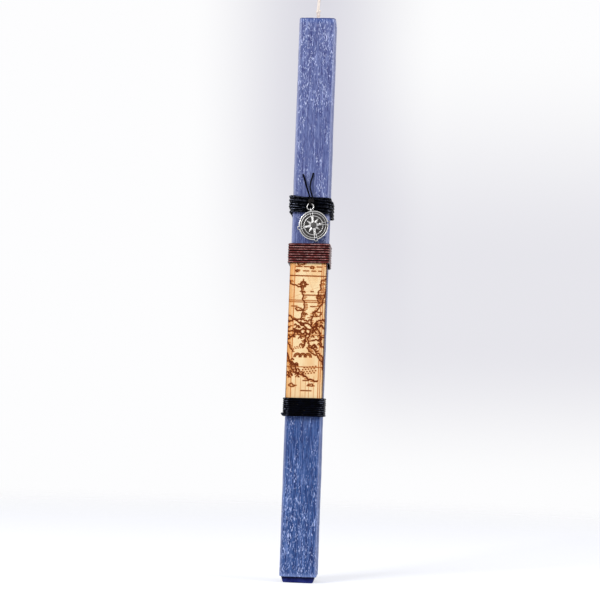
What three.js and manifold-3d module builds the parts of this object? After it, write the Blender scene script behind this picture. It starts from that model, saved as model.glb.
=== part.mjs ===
// A hand-dressed Easter candle: a square bar of wax on a tapered foot, with a plaited wick, an engraved
// wooden plate held by two cord windings, and a compass charm that hangs on a ring from a third winding.
// Millimetres. +Z runs up the candle, +X is to its right and -Y is its front. The origin is the middle of
// the face that it stands on.
import * as THREE from "three";
import { mergeVertices } from "three/addons/utils/BufferGeometryUtils.js";
import Module from "manifold-3d";

const wasm = await Module();
wasm.setup();

// Wax bar and foot
const WAX_HEIGHT = 400;
const WAX_WIDTH = 26;
const WAX_DEPTH = 26;
const WAX_CORNER = 2.5; // radius of the softened upright corners
const WAX_EDGE = 0.9; // bevel round the top face and the lower rim
const FOOT_HEIGHT = 4.4;
const FOOT_INSET = 1.3; // step from the bar to the top of the foot
const FOOT_TAPER = 1.2; // how far each side of the foot leans in
const FOOT_CORNER = 1; // radius of the foot's corners where it stands

// Wick
const WICK_DIAMETER = 1.8;
const WICK_EXPOSED = 30;
const WICK_START = 3; // the wick ends this far above the standing face
const WICK_KNOB = 3; // width and height of the wax-soaked knob in the free end
const WICK_KNOB_RISE = 7; // from the bar's top to the middle of the knob
const WICK_KNOB_X = -0.7;
// The free end's route above the knob: right of the middle, and the share of its length.
const WICK_ROUTE = [
  [-0.4, 0.45],
  [0.1, 0.65],
  [0.6, 0.85],
  [0.8, 1],
];
const WICK_CLEARANCE = 0.3;

// Engraved plate, cut as wide as the bar
const PLATE_LENGTH = 119.5;
const PLATE_THICKNESS = 3;
const PLATE_BOTTOM = 116.3; // height of the plate's lower end

// Cords, drawn a little thinner than life so that the turns stay apart
const COTTON_DIAMETER = 0.94;
const LEATHER_DIAMETER = 1.34;
const CORD_GAP = 0.42; // between neighbouring turns
const LAYER_GAP = 0.48; // between the two layers of the upper band
const SEAT_GAP = 0.3; // between a cord and what it is wound on, holds or hangs in front of
const BAND_OVERHANG = 0.8; // how far a band lies past the end of the plate
const LOWER_TURNS = 9;
const LEATHER_TURNS = 8;
const INNER_TURNS = 7.75; // these three end at a side of the bar, so they keep their quarters
const CLIMB_TURNS = 0.5;
const OUTER_TURNS = 4.75;
const OUTER_PITCH = 2.3;
const OUTER_SLANT = 0.1; // fall of the outer turns for each millimetre to the right
const TURN_BACK_DROP = 1; // the winding sinks this far before it climbs to its outer layer
const CHARM_SPACE = 22.4; // bare wax between the leather band and the upper band
// The cut ends that stand out of two bands, from the tip: x, y and z from where the winding starts, at
// the front left corner and in the middle of the right side.
const LOWER_STUB = [
  [-3.1, 0, 1.5],
  [-1.7, 0, 0],
];
const LEATHER_STUB = [
  [0, -6, -4],
  [0, -6, -1.7],
  [0, -5.2, -0.7],
  [0, -3.5, -0.1],
];

// Tie: a knot with a loop below it and two tails
const KNOT_RADIUS = 1.3;
const KNOT_WIDTH = 4.4;
const KNOT_X = 0.2;
const KNOT_RISE = 7.5; // from the lowest inner turn of the upper band to the middle of the knot
// The tails' routes: right of the knot, above it, and the share of the way back to the wax.
const LEFT_TAIL = [
  [0, 0, 0],
  [-1.1, 3.4, 0],
  [-3.9, 11, 0.5],
  [-6.5, 19.3, 1],
];
const RIGHT_TAIL = [
  [0, 0, 0],
  [0.5, 3.4, 0],
  [-1.1, 11.1, 0.5],
  [0.8, 20.4, 1],
];

// Jump ring
const RING_RADIUS = 2.3; // to the middle of the wire
const RING_WIRE = 0.8;
const RING_SPLIT = 8; // degrees left open where the wire's ends meet
const RING_SPLIT_AT = 150; // degrees round the ring, from its right side over its top
const HANG_X = -0.2; // the ring hangs this far right of the middle

// Charm
const CHARM_RADIUS = 10.4;
const CHARM_THICKNESS = 1.3;
const CHARM_TILT = 12; // degrees, anticlockwise from the front, as it hangs
const RIM_WIDTH = 1.5;
const RECESS = 0.45; // depth of the field and of the channel below the rim
const INNER_RING_RADIUS = 6.9;
const INNER_RING_WIDTH = 0.7;
const STAR_RADIUS = 6.2;
const STAR_SIDE_RADIUS = 4.8;
const STAR_WAIST = 2.1;
const STAR_EDGE = 0.15; // height of the star's outline above the field
const STAR_RISE = 0.75; // height of the star's middle above the field
const STAR_TOP = 0.1; // radius of the small flat that the boss covers
const BOSS_RADIUS = 2.2;
const BOSS_RISE = 0.75; // height of the boss above the rim
const SPOKE_WIDTH = 0.45; // each of the two ribs of a spoke
const SPOKE_SPACE = 0.5; // between the two ribs
const SPOKE_START = 4.4;
const SPOKE_RISE = 0.15; // height of the ribs above the rim
const LUG_RADIUS = 1.75;
const LUG_HOLE = 0.7;
const LUG_REACH = 10.15; // from the charm's middle to the middle of a lug
const LUG_THICKNESS = 1;
const BAIL_RADIUS = 1.8; // the bail stands square to the charm's face
const BAIL_HOLE = 1;
const BAIL_REACH = 11;
const WIRE_SEAT = 0.25; // the ring's wire runs this far above the middle of the bail's hole

// Fineness of the round forms
const CORNER_STEPS = 4;
const CORD_SIDES = 6;
const TUBE_SIDES = 8;
const DISC_STEPS = 48;
const SMALL_STEPS = 24;
const BEND_STEPS = 8;
const LOOP_STEPS = 20;
const TAIL_STEPS = 10;

// What follows from these
const front = -WAX_DEPTH / 2;
const plateFront = front - PLATE_THICKNESS;
const cottonPitch = COTTON_DIAMETER + CORD_GAP;
const leatherPitch = LEATHER_DIAMETER + CORD_GAP;
const innerOffset = SEAT_GAP + COTTON_DIAMETER / 2;
const outerOffset = innerOffset + COTTON_DIAMETER + LAYER_GAP;
const lowerBandStart = PLATE_BOTTOM - BAND_OVERHANG + COTTON_DIAMETER / 2;
const leatherBandTop = PLATE_BOTTOM + PLATE_LENGTH + BAND_OVERHANG;
const leatherBandStart = leatherBandTop - LEATHER_DIAMETER / 2 - (LEATHER_TURNS - 0.5) * leatherPitch;
const upperBandStart = leatherBandTop + CHARM_SPACE + COTTON_DIAMETER / 2;
const upperBandFront = front - outerOffset - COTTON_DIAMETER / 2;
const loopRadius = RING_WIRE / 2 + SEAT_GAP + COTTON_DIAMETER / 2; // the loop's bend round the ring's wire
const hangDepth = Math.max(KNOT_RADIUS, loopRadius + COTTON_DIAMETER / 2, BAIL_RADIUS);
const hangY = upperBandFront - SEAT_GAP - hangDepth;
const knotHeight = upperBandStart + KNOT_RISE;
const ringTop = knotHeight - KNOT_RADIUS - SEAT_GAP - RING_WIRE / 2; // height of the wire in the loop
const charmDrop = RING_RADIUS + WIRE_SEAT + BAIL_REACH; // from the ring's middle to the charm's

const barSection = {
  halfWidth: WAX_WIDTH / 2,
  front,
  back: WAX_DEPTH / 2,
  frontCorner: WAX_CORNER,
  backCorner: WAX_CORNER,
};
const platedSection = {
  halfWidth: WAX_WIDTH / 2,
  front: plateFront,
  back: WAX_DEPTH / 2,
  frontCorner: 0,
  backCorner: WAX_CORNER,
};

// Closed solids

function withoutFlatTriangles(geometry) {
  const index = geometry.index.array;
  const kept = [];
  for (let i = 0; i < index.length; i += 3) {
    const [a, b, c] = [index[i], index[i + 1], index[i + 2]];
    if (a !== b && b !== c && c !== a) kept.push(a, b, c);
  }
  geometry.setIndex(kept);
  return geometry;
}

function solid(geometry) {
  geometry.deleteAttribute("normal");
  geometry.deleteAttribute("uv");
  const merged = withoutFlatTriangles(mergeVertices(geometry));
  return new wasm.Manifold(
    new wasm.Mesh({
      numProp: 3,
      vertProperties: new Float32Array(merged.attributes.position.array),
      triVerts: new Uint32Array(merged.index.array),
    }),
  );
}

function joined(geometries) {
  return geometries.map(solid).reduce((whole, part) => whole.add(part));
}

function geometryOf(shape) {
  const { vertProperties, triVerts } = shape.getMesh();
  const geometry = new THREE.BufferGeometry();
  geometry.setAttribute("position", new THREE.BufferAttribute(vertProperties, 3));
  geometry.setIndex(new THREE.BufferAttribute(triVerts, 1));
  return geometry;
}

// Rings of equally many points, joined into a skin and closed by a flat fan at each end.
function loft(rings) {
  const sides = rings[0].length;
  const index = [];
  for (let ring = 0; ring + 1 < rings.length; ring += 1) {
    for (let side = 0; side < sides; side += 1) {
      const a = ring * sides + side;
      const b = ring * sides + ((side + 1) % sides);
      index.push(a, b, b + sides, a, b + sides, a + sides);
    }
  }
  const last = (rings.length - 1) * sides;
  for (let side = 1; side + 1 < sides; side += 1) {
    index.push(0, side + 1, side);
    index.push(last, last + side, last + side + 1);
  }
  const geometry = new THREE.BufferGeometry().setFromPoints(rings.flat());
  geometry.setIndex(index);
  return geometry;
}

// A tube through places that each hold a point, the direction that faces out of the work, and a radius.
function tube(places, sides) {
  const rings = places.map(({ at, out, radius }, i) => {
    const before = places[Math.max(i - 1, 0)].at;
    const after = places[Math.min(i + 1, places.length - 1)].at;
    const along = after.clone().sub(before).normalize();
    const first = out.clone().addScaledVector(along, -out.dot(along)).normalize();
    const second = along.clone().cross(first);
    return Array.from({ length: sides }, (_, side) => {
      const angle = (2 * Math.PI * side) / sides;
      return at
        .clone()
        .addScaledVector(first, radius * Math.cos(angle))
        .addScaledVector(second, radius * Math.sin(angle));
    });
  });
  return loft(rings);
}

function roundedRectangle(halfWidth, halfDepth, corner) {
  const shape = new THREE.Shape();
  shape.absarc(halfWidth - corner, halfDepth - corner, corner, 0, Math.PI / 2);
  shape.absarc(-halfWidth + corner, halfDepth - corner, corner, Math.PI / 2, Math.PI);
  shape.absarc(-halfWidth + corner, -halfDepth + corner, corner, Math.PI, Math.PI * 1.5);
  shape.absarc(halfWidth - corner, -halfDepth + corner, corner, Math.PI * 1.5, Math.PI * 2);
  return shape;
}

// A prism with the given height and outline, cut back by a bevel at both ends.
function beveledPrism(outline, height, bevelHeight, bevelWidth) {
  const geometry = new THREE.ExtrudeGeometry(outline, {
    depth: height - 2 * bevelHeight,
    curveSegments: CORNER_STEPS,
    bevelSegments: 1,
    bevelThickness: bevelHeight,
    bevelSize: bevelWidth,
    bevelOffset: -bevelWidth,
  });
  return geometry.translate(0, 0, bevelHeight);
}

// Windings

const direction = (degrees) => {
  const angle = THREE.MathUtils.degToRad(degrees);
  return new THREE.Vector3(Math.cos(angle), Math.sin(angle), 0);
};

// One turn round a section, anticlockwise from the middle of the back as seen from above: the middle of
// each side, and then the corner after it.
function turnPlaces(section, offset) {
  const { halfWidth, front: near, back, frontCorner, backCorner } = section;
  const middle = (near + back) / 2;
  const sides = [
    { at: [0, back], corner: [-halfWidth + backCorner, back - backCorner], round: backCorner },
    { at: [-halfWidth, middle], corner: [-halfWidth + frontCorner, near + frontCorner], round: frontCorner },
    { at: [0, near], corner: [halfWidth - frontCorner, near + frontCorner], round: frontCorner },
    { at: [halfWidth, middle], corner: [halfWidth - backCorner, back - backCorner], round: backCorner },
  ];
  return sides.flatMap(({ at, corner, round }, side) => {
    const facing = 90 + 90 * side;
    const places = [{ at: new THREE.Vector3(...at, 0), reach: offset, out: direction(facing) }];
    for (let step = 0; step <= CORNER_STEPS; step += 1) {
      const out = direction(facing + (90 * step) / CORNER_STEPS);
      places.push({ at: new THREE.Vector3(...corner, 0), reach: round + offset, out });
    }
    return places.map((place) => ({
      at: place.at.addScaledVector(place.out, place.reach),
      out: place.out,
    }));
  });
}

const STEPS_PER_SIDE = CORNER_STEPS + 2;
const STEPS_PER_TURN = 4 * STEPS_PER_SIDE;
const FRONT_LEFT = 2 * STEPS_PER_SIDE - 1; // the step that ends the front left corner
const RIGHT_SIDE = 3 * STEPS_PER_SIDE; // the step in the middle of the right side

// How far round its turn each step is, from 0 to 1, by length.
function turnShares(section, offset) {
  const places = turnPlaces(section, offset);
  const lengths = places.map(({ at }, i) => at.distanceTo(places[(i + 1) % places.length].at));
  const whole = lengths.reduce((sum, length) => sum + length);
  let run = 0;
  return lengths.map((length) => {
    const share = run / whole;
    run += length;
    return share;
  });
}

// The middle line of a cord from one step to another. rule(turn) gives the cord's offset from the
// section, its height and its slant after that many turns; the front's middle is half a turn.
function wind(section, firstStep, lastStep, radius, rule) {
  const shares = turnShares(section, rule(0).offset);
  const places = [];
  for (let step = firstStep; step <= lastStep; step += 1) {
    const turn = Math.floor(step / STEPS_PER_TURN) + shares[step % STEPS_PER_TURN];
    const { offset, height, slant } = rule(turn);
    const { at, out } = turnPlaces(section, offset)[step % STEPS_PER_TURN];
    places.push({ at: at.setZ(height - slant * at.x), out, radius });
  }
  return places;
}

// A cord's end, carried straight on for one diameter.
function straightEnd(places) {
  const [before, last] = places.slice(-2);
  const along = last.at.clone().sub(before.at).normalize();
  return { ...last, at: last.at.clone().addScaledVector(along, 2 * last.radius) };
}

// A cut end of a cord, through points that are measured from the place where its winding starts.
function stubPlaces(start, points) {
  return points.map((point) => ({ ...start, at: start.at.clone().add(new THREE.Vector3(...point)) }));
}

function distanceToRun(point, start, end) {
  return new THREE.Line3(start, end)
    .closestPointToPoint(point, true, new THREE.Vector3())
    .distanceTo(point);
}

// The least space between two stretches of a winding that lie at least half a turn apart.
function leastGap(places) {
  let least = Infinity;
  for (let i = 0; i < places.length; i += 1) {
    for (let j = i + STEPS_PER_TURN / 2; j + 1 < places.length; j += 1) {
      const between = distanceToRun(places[i].at, places[j].at, places[j + 1].at);
      const back = distanceToRun(places[j].at, places[i].at, places[Math.max(i - 1, 0)].at);
      least = Math.min(least, Math.min(between, back) - 2 * places[i].radius);
    }
  }
  return least;
}

function cord(name, places) {
  console.log(`${name}: least gap to itself ${leastGap(places).toFixed(3)} mm`);
  return tube(places, CORD_SIDES);
}

// The pieces

function candleBody() {
  const barHeight = WAX_HEIGHT - FOOT_HEIGHT;
  const outline = roundedRectangle(WAX_WIDTH / 2, WAX_DEPTH / 2, WAX_CORNER);
  const bar = beveledPrism(outline, barHeight, WAX_EDGE, WAX_EDGE).translate(0, 0, FOOT_HEIGHT);
  const footOutline = roundedRectangle(
    WAX_WIDTH / 2 - FOOT_INSET,
    WAX_DEPTH / 2 - FOOT_INSET,
    FOOT_CORNER + FOOT_TAPER,
  );
  const sunk = FOOT_HEIGHT / 2; // straight part of the foot's solid, inside the bar
  const foot = beveledPrism(footOutline, 2 * FOOT_HEIGHT + sunk, FOOT_HEIGHT, FOOT_TAPER);
  const boreRadius = WICK_DIAMETER / 2 + WICK_CLEARANCE;
  const boreBottom = WICK_START - WICK_CLEARANCE;
  const bore = new THREE.CylinderGeometry(boreRadius, boreRadius, WAX_HEIGHT, SMALL_STEPS)
    .rotateX(Math.PI / 2)
    .translate(0, 0, boreBottom + WAX_HEIGHT / 2);
  return geometryOf(joined([bar, foot]).subtract(solid(bore)));
}

function wick() {
  const radius = WICK_DIAMETER / 2;
  const knobHeight = WAX_HEIGHT + WICK_KNOB_RISE;
  const place = (x, z, size) => ({
    at: new THREE.Vector3(x, 0, z),
    out: new THREE.Vector3(0, -1, 0),
    radius: size,
  });
  const places = [place(0, WICK_START, radius), place(0, WAX_HEIGHT, radius)];
  for (const lift of [-1, -0.5, 0, 0.5, 1]) {
    const swell = Math.cos((Math.PI / 2) * lift);
    const size = THREE.MathUtils.lerp(radius, WICK_KNOB / 2, swell);
    places.push(place(WICK_KNOB_X, knobHeight + (WICK_KNOB / 2) * lift, size));
  }
  for (const [x, share] of WICK_ROUTE) {
    places.push(place(x, WAX_HEIGHT + WICK_EXPOSED * share, radius));
  }
  return tube(places, TUBE_SIDES);
}

function mapPlate() {
  return new THREE.BoxGeometry(WAX_WIDTH, PLATE_THICKNESS, PLATE_LENGTH);
}

function lowerWinding() {
  const radius = COTTON_DIAMETER / 2;
  const rule = (turn) => ({
    offset: innerOffset,
    height: lowerBandStart + (turn - 0.5) * cottonPitch,
    slant: 0,
  });
  const lastStep = LOWER_TURNS * STEPS_PER_TURN;
  const places = wind(platedSection, FRONT_LEFT, lastStep, radius, rule);
  const stub = stubPlaces(places[0], LOWER_STUB);
  return cord("lower_winding", [...stub, ...places, straightEnd(places)]);
}

function leatherWinding() {
  const radius = LEATHER_DIAMETER / 2;
  const rule = (turn) => ({
    offset: SEAT_GAP + radius,
    height: leatherBandStart + (turn - 1) * leatherPitch,
    slant: 0,
  });
  const lastStep = (LEATHER_TURNS + 1) * STEPS_PER_TURN;
  const places = wind(platedSection, RIGHT_SIDE, lastStep, radius, rule);
  const stub = stubPlaces(places[0], LEATHER_STUB);
  return cord("leather_winding", [...stub, ...places, straightEnd(places)]);
}

function upperWinding() {
  const radius = COTTON_DIAMETER / 2;
  const turned = INNER_TURNS + CLIMB_TURNS;
  const rule = (turn) => {
    const half = THREE.MathUtils.clamp((turn - INNER_TURNS) / CLIMB_TURNS, 0, 1);
    const drop = Math.min(2 * half, 1); // first down the wax, then up on to the inner layer
    const climb = Math.max(2 * half - 1, 0);
    const lean = THREE.MathUtils.smoothstep(turn, turned, turned + CLIMB_TURNS);
    const inner = (INNER_TURNS - Math.min(turn, INNER_TURNS)) * cottonPitch;
    const outer = Math.max(turn - turned, 0) * OUTER_PITCH;
    return {
      offset: THREE.MathUtils.lerp(innerOffset, outerOffset, climb),
      height: upperBandStart + inner - TURN_BACK_DROP * drop + outer,
      slant: OUTER_SLANT * lean,
    };
  };
  const lastStep = Math.round((turned + OUTER_TURNS) * STEPS_PER_TURN);
  const places = wind(barSection, 0, lastStep, radius, rule);
  return cord("upper_winding", [...places, straightEnd(places)]);
}

// A cord of the tie through hand-set points.
function tieCord(points, steps) {
  const curve = new THREE.CatmullRomCurve3(points.map((point) => new THREE.Vector3(...point)));
  const section = new THREE.Shape().absarc(0, 0, COTTON_DIAMETER / 2, 0, Math.PI * 2);
  return new THREE.ExtrudeGeometry(section, {
    extrudePath: curve,
    steps,
    curveSegments: TUBE_SIDES / 2,
    bevelEnabled: false,
  });
}

function charmTie() {
  const radius = COTTON_DIAMETER / 2;
  const knot = new THREE.SphereGeometry(KNOT_RADIUS, SMALL_STEPS / 2, SMALL_STEPS / 3)
    .scale(KNOT_WIDTH / 2 / KNOT_RADIUS, 1, 1)
    .translate(KNOT_X, hangY, knotHeight);
  const bend = Array.from({ length: BEND_STEPS + 1 }, (_, i) => {
    const angle = Math.PI + (Math.PI * i) / BEND_STEPS;
    return [HANG_X, hangY + loopRadius * Math.cos(angle), ringTop + loopRadius * Math.sin(angle)];
  });
  const loopTop = knotHeight - KNOT_RADIUS / 3;
  const loop = tieCord(
    [[HANG_X, hangY - loopRadius, loopTop], ...bend, [HANG_X, hangY + loopRadius, loopTop]],
    LOOP_STEPS,
  );
  const onWax = front - SEAT_GAP - radius;
  const tails = [LEFT_TAIL, RIGHT_TAIL].map((route) => {
    const points = route.map(([x, z, back]) => [
      KNOT_X + x,
      THREE.MathUtils.lerp(hangY, onWax, back),
      knotHeight + z,
    ]);
    return tieCord(points, TAIL_STEPS);
  });
  return geometryOf(joined([knot, loop, ...tails]));
}

// The ring in its own frame: its middle is the origin and it faces the front.
function jumpRing() {
  const open = THREE.MathUtils.degToRad(RING_SPLIT);
  const start = THREE.MathUtils.degToRad(RING_SPLIT_AT) + open / 2;
  const steps = 2 * SMALL_STEPS;
  const places = Array.from({ length: steps + 1 }, (_, i) => {
    const angle = start + ((2 * Math.PI - open) * i) / steps;
    const out = new THREE.Vector3(Math.cos(angle), 0, Math.sin(angle));
    return { at: out.clone().multiplyScalar(RING_RADIUS), out, radius: RING_WIRE / 2 };
  });
  return tube(places, TUBE_SIDES);
}

// The charm in its own frame: its middle is the origin, +Y is up and +Z is its face.

function charmDisc() {
  const back = -CHARM_THICKNESS / 2;
  const rim = CHARM_THICKNESS / 2;
  const field = rim - RECESS;
  const ringOuter = INNER_RING_RADIUS + INNER_RING_WIDTH / 2;
  const ringInner = INNER_RING_RADIUS - INNER_RING_WIDTH / 2;
  const profile = [
    [0, back],
    [CHARM_RADIUS - RECESS / 2, back],
    [CHARM_RADIUS, back + RECESS / 2],
    [CHARM_RADIUS, rim - RECESS / 2],
    [CHARM_RADIUS - RECESS / 2, rim],
    [CHARM_RADIUS - RIM_WIDTH, rim],
    [CHARM_RADIUS - RIM_WIDTH - RECESS / 2, field],
    [ringOuter + RECESS / 2, field],
    [ringOuter, rim],
    [ringInner, rim],
    [ringInner - RECESS / 2, field],
    [0, field],
  ];
  const points = profile.map(([radius, height]) => new THREE.Vector2(radius, height));
  return new THREE.LatheGeometry(points, DISC_STEPS).rotateX(Math.PI / 2);
}

function charmStar() {
  const field = CHARM_THICKNESS / 2 - RECESS;
  const rim = Array.from({ length: 16 }, (_, i) => {
    const tip = i % 4 === 0 ? STAR_RADIUS : STAR_SIDE_RADIUS;
    const reach = i % 2 === 0 ? tip : STAR_WAIST;
    const angle = (Math.PI * i) / 8;
    return new THREE.Vector3(reach * Math.cos(angle), reach * Math.sin(angle), 0);
  });
  const sunk = rim.map((point) => point.clone().setZ(field - RECESS));
  const edge = rim.map((point) => point.clone().setZ(field + STAR_EDGE));
  const peak = rim.map((point) => point.clone().setLength(STAR_TOP).setZ(field + STAR_RISE));
  return loft([sunk, edge, peak]);
}

function charmBoss() {
  const rise = CHARM_THICKNESS / 2 + BOSS_RISE;
  return new THREE.SphereGeometry(BOSS_RADIUS, SMALL_STEPS, SMALL_STEPS / 2).scale(1, 1, rise / BOSS_RADIUS);
}

// A round bar across the charm's plane, as thick as a lug or longer, for a lug's body or its hole.
function lugBar(radius, length) {
  return new THREE.CylinderGeometry(radius, radius, length, SMALL_STEPS).rotateX(Math.PI / 2);
}

function spokeRibs(reach) {
  const length = reach - SPOKE_START;
  const shift = (SPOKE_SPACE + SPOKE_WIDTH) / 2;
  return [-shift, shift].map((x) => {
    const rib = new THREE.BoxGeometry(SPOKE_WIDTH, length, CHARM_THICKNESS);
    return rib.translate(x, SPOKE_START + length / 2, SPOKE_RISE);
  });
}

function compassCharm() {
  const blanks = [charmDisc(), charmStar(), charmBoss()];
  const drills = [];
  for (let quarter = 0; quarter < 4; quarter += 1) {
    const isBail = quarter === 0;
    const angle = (Math.PI / 2) * quarter;
    const reach = isBail ? BAIL_REACH : LUG_REACH;
    const hole = isBail ? BAIL_HOLE : LUG_HOLE;
    const twist = isBail ? Math.PI / 2 : 0;
    const place = (bar) => bar.rotateY(twist).translate(0, reach, 0).rotateZ(angle);
    blanks.push(place(lugBar(isBail ? BAIL_RADIUS : LUG_RADIUS, LUG_THICKNESS)));
    blanks.push(...spokeRibs(reach - hole).map((rib) => rib.rotateZ(angle)));
    drills.push(place(lugBar(hole, 2 * CHARM_THICKNESS)));
  }
  return geometryOf(joined(blanks).subtract(joined(drills)));
}

// Materials

function material(color, roughness, metalness) {
  return new THREE.MeshStandardMaterial({ color, roughness, metalness });
}

const wax = material("#5a6ca5", 0.55, 0);
const wickCotton = material("#f3e3d2", 0.9, 0);
const plywood = material("#edcf9c", 0.7, 0);
const blackCotton = material("#141417", 0.4, 0);
const leather = material("#63302b", 0.5, 0);
const bright = material("#c9cbd0", 0.25, 1);
const antique = material("#8d8d8f", 0.4, 1);

function piece(name, geometry, finish) {
  const mesh = new THREE.Mesh(geometry, finish);
  mesh.name = name;
  return mesh;
}

// Assembly

const candle = new THREE.Group();
candle.add(piece("candle_body", candleBody(), wax));
candle.add(piece("wick", wick(), wickCotton));
candle.add(piece("upper_winding", upperWinding(), blackCotton));
candle.add(piece("charm_tie", charmTie(), blackCotton));
candle.add(piece("leather_winding", leatherWinding(), leather));
candle.add(piece("lower_winding", lowerWinding(), blackCotton));

const plate = piece("map_plate", mapPlate(), plywood);
plate.position.set(0, front - PLATE_THICKNESS / 2, PLATE_BOTTOM + PLATE_LENGTH / 2);
candle.add(plate);

const ringHang = new THREE.Group();
ringHang.position.set(HANG_X, hangY, ringTop - RING_RADIUS);
ringHang.add(piece("jump_ring", jumpRing(), bright));
candle.add(ringHang);

const charmHang = new THREE.Group();
charmHang.rotation.y = -THREE.MathUtils.degToRad(CHARM_TILT);
const charm = piece("compass_charm", compassCharm(), antique);
charm.position.z = -charmDrop;
charm.rotation.x = Math.PI / 2;
charmHang.add(charm);
ringHang.add(charmHang);

export default candle;
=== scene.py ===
# %% [markdown]
# # A hand-dressed Easter candle
# The real object is a square bar of blue wax on a dark tapered foot. Two cords bind an engraved plywood
# plate to its front, and a third winding carries a knotted tie, a jump ring and a cast compass charm.
# Blender works in metres here. +Z runs up the candle, +X is to its right and -Y is its front.

# %% Load the measured model
import math
import random

import bmesh
import bpy
import numpy as np
from mathutils import Matrix, Quaternion, Vector


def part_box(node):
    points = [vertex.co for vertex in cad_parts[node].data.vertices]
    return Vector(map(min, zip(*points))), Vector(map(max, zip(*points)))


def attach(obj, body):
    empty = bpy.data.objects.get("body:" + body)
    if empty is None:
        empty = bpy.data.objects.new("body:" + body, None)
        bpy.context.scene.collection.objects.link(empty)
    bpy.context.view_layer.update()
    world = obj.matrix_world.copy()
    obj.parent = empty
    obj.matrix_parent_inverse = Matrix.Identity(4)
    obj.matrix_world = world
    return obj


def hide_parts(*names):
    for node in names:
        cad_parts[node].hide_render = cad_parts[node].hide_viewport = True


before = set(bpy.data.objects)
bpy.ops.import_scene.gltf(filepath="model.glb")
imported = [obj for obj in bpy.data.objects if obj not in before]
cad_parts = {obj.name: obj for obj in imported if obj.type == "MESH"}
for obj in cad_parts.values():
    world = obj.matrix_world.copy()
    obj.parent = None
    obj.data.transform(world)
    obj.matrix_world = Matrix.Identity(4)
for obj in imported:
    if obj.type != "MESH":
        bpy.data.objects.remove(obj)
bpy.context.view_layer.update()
MM = 0.001
print("nodes:", ", ".join(sorted(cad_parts)))

# %% [markdown]
# ## Sizes that several pieces share
# The measured model knows where every piece lies, so most sizes are read from it. A few are repeated here
# because the cords follow the same routes as there, only at their full thickness.

# %% Shared sizes
wax_low, wax_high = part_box("candle_body")
plate_low, plate_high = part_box("map_plate")
HALF = wax_high.x
FRONT = wax_low.y
BACK = wax_high.y
TOP = wax_high.z
FOOT_HEIGHT = 4.4 * MM
PLATE_FRONT = plate_low.y
print("bar", tuple(round(v / MM, 1) for v in wax_high - wax_low), "mm")

# %% [markdown]
# ## Camera
# The candle is photographed from a little to its right and from low down, so that the horizon crosses its
# lower third, and the picture is turned by two degrees. The lens is long, which keeps the bar's sides
# almost parallel. A quaternion turned about its own Z axis gives that roll without touching the aim.

# %% Make the camera
AZIMUTH = 3.5
ELEVATION = -4.8
ROLL = 2.11
DISTANCE = 1.05
AIM = Vector((-6.1 * MM, 0, 198 * MM))
LENS = 88.38


def add_object(name, data=None):
    """Puts an object with this data into the scene, or an empty."""
    made = bpy.data.objects.new(name, data)
    bpy.context.scene.collection.objects.link(made)
    return made


def make_camera():
    a = math.radians(AZIMUTH)
    e = math.radians(ELEVATION)
    away = Vector((math.sin(a) * math.cos(e), -math.cos(a) * math.cos(e), math.sin(e)))
    camera = add_object("camera", bpy.data.cameras.new("camera"))
    camera.data.lens = LENS
    camera.location = AIM + away * DISTANCE
    camera.rotation_mode = "QUATERNION"
    level = (-away).to_track_quat("-Z", "Y")
    camera.rotation_quaternion = level @ Quaternion((0, 0, 1), math.radians(ROLL))
    bpy.context.scene.camera = camera
    return camera


camera = make_camera()
print("camera at", tuple(round(v, 3) for v in camera.location))

# %% [markdown]
# ## Helpers for modelling
# An operator acts on what is selected, so each piece starts by deselecting everything. In edit mode the
# parts to work on are chosen in code, by a test on their place or direction, as a modeller would click them.

# %% Selecting and editing
MODES = {"verts": "VERT", "edges": "EDGE", "faces": "FACE"}
LEVEL = 0.99


def pick(*pieces):
    """Selects these pieces alone, or nothing."""
    bpy.ops.object.select_all(action="DESELECT")
    for piece in pieces:
        piece.select_set(True)
    if pieces:
        bpy.context.view_layer.objects.active = pieces[0]


def start_from(name, scale=(1, 1, 1)):
    """Names and scales the new primitive, bakes its place into its mesh and opens it for editing."""
    piece = bpy.context.object
    piece.name = name
    piece.data.name = name
    piece.scale = scale
    bpy.ops.object.transform_apply(location=True, rotation=True, scale=True)
    bpy.ops.object.mode_set(mode="EDIT")
    return piece


def choose(kind, test):
    """In edit mode, selects the vertices, edges or faces that pass the test."""
    bpy.ops.mesh.select_mode(type=MODES[kind])
    bpy.ops.mesh.select_all(action="DESELECT")
    mesh = bmesh.from_edit_mesh(bpy.context.object.data)
    found = [item for item in getattr(mesh, kind) if test(item)]
    for item in found:
        item.select_set(True)
    bmesh.update_edit_mesh(bpy.context.object.data)


def facing_up(face):
    return face.normal.z > LEVEL


def facing_down(face):
    return face.normal.z < -LEVEL


def middle(edge):
    return (edge.verts[0].co + edge.verts[1].co) / 2


def run_of(edge):
    return edge.verts[1].co - edge.verts[0].co


def extrude(x, y, z):
    bpy.ops.mesh.extrude_region_move(TRANSFORM_OT_translate={"value": (x, y, z)})


def narrow(share):
    """In edit mode, scales what is chosen towards the Z axis."""
    bpy.ops.transform.resize(value=(share, share, 1), center_override=(0, 0, 0))


def face_outwards():
    bpy.ops.mesh.select_all(action="SELECT")
    bpy.ops.mesh.normals_make_consistent(inside=False)


def close_edit():
    bpy.ops.object.mode_set(mode="OBJECT")


# %% Modifying and finishing


def modify(piece, kind, **settings):
    """Adds a modifier with these settings and applies it."""
    pick(piece)
    modifier = piece.modifiers.new(kind.lower(), kind)
    for key, value in settings.items():
        setattr(modifier, key, value)
    bpy.ops.object.modifier_apply(modifier=modifier.name)


def modify_by_guide(piece, kind, link, scale=(1, 1, 1), turn=0, **settings):
    """Applies a modifier whose setting link names an empty, from which it reads a scale or a turn."""
    guide = add_object("guide")
    guide.scale = scale
    guide.rotation_euler.z = turn
    bpy.context.view_layer.update()
    modify(piece, kind, **{link: guide}, **settings)
    bpy.data.objects.remove(guide)


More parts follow.
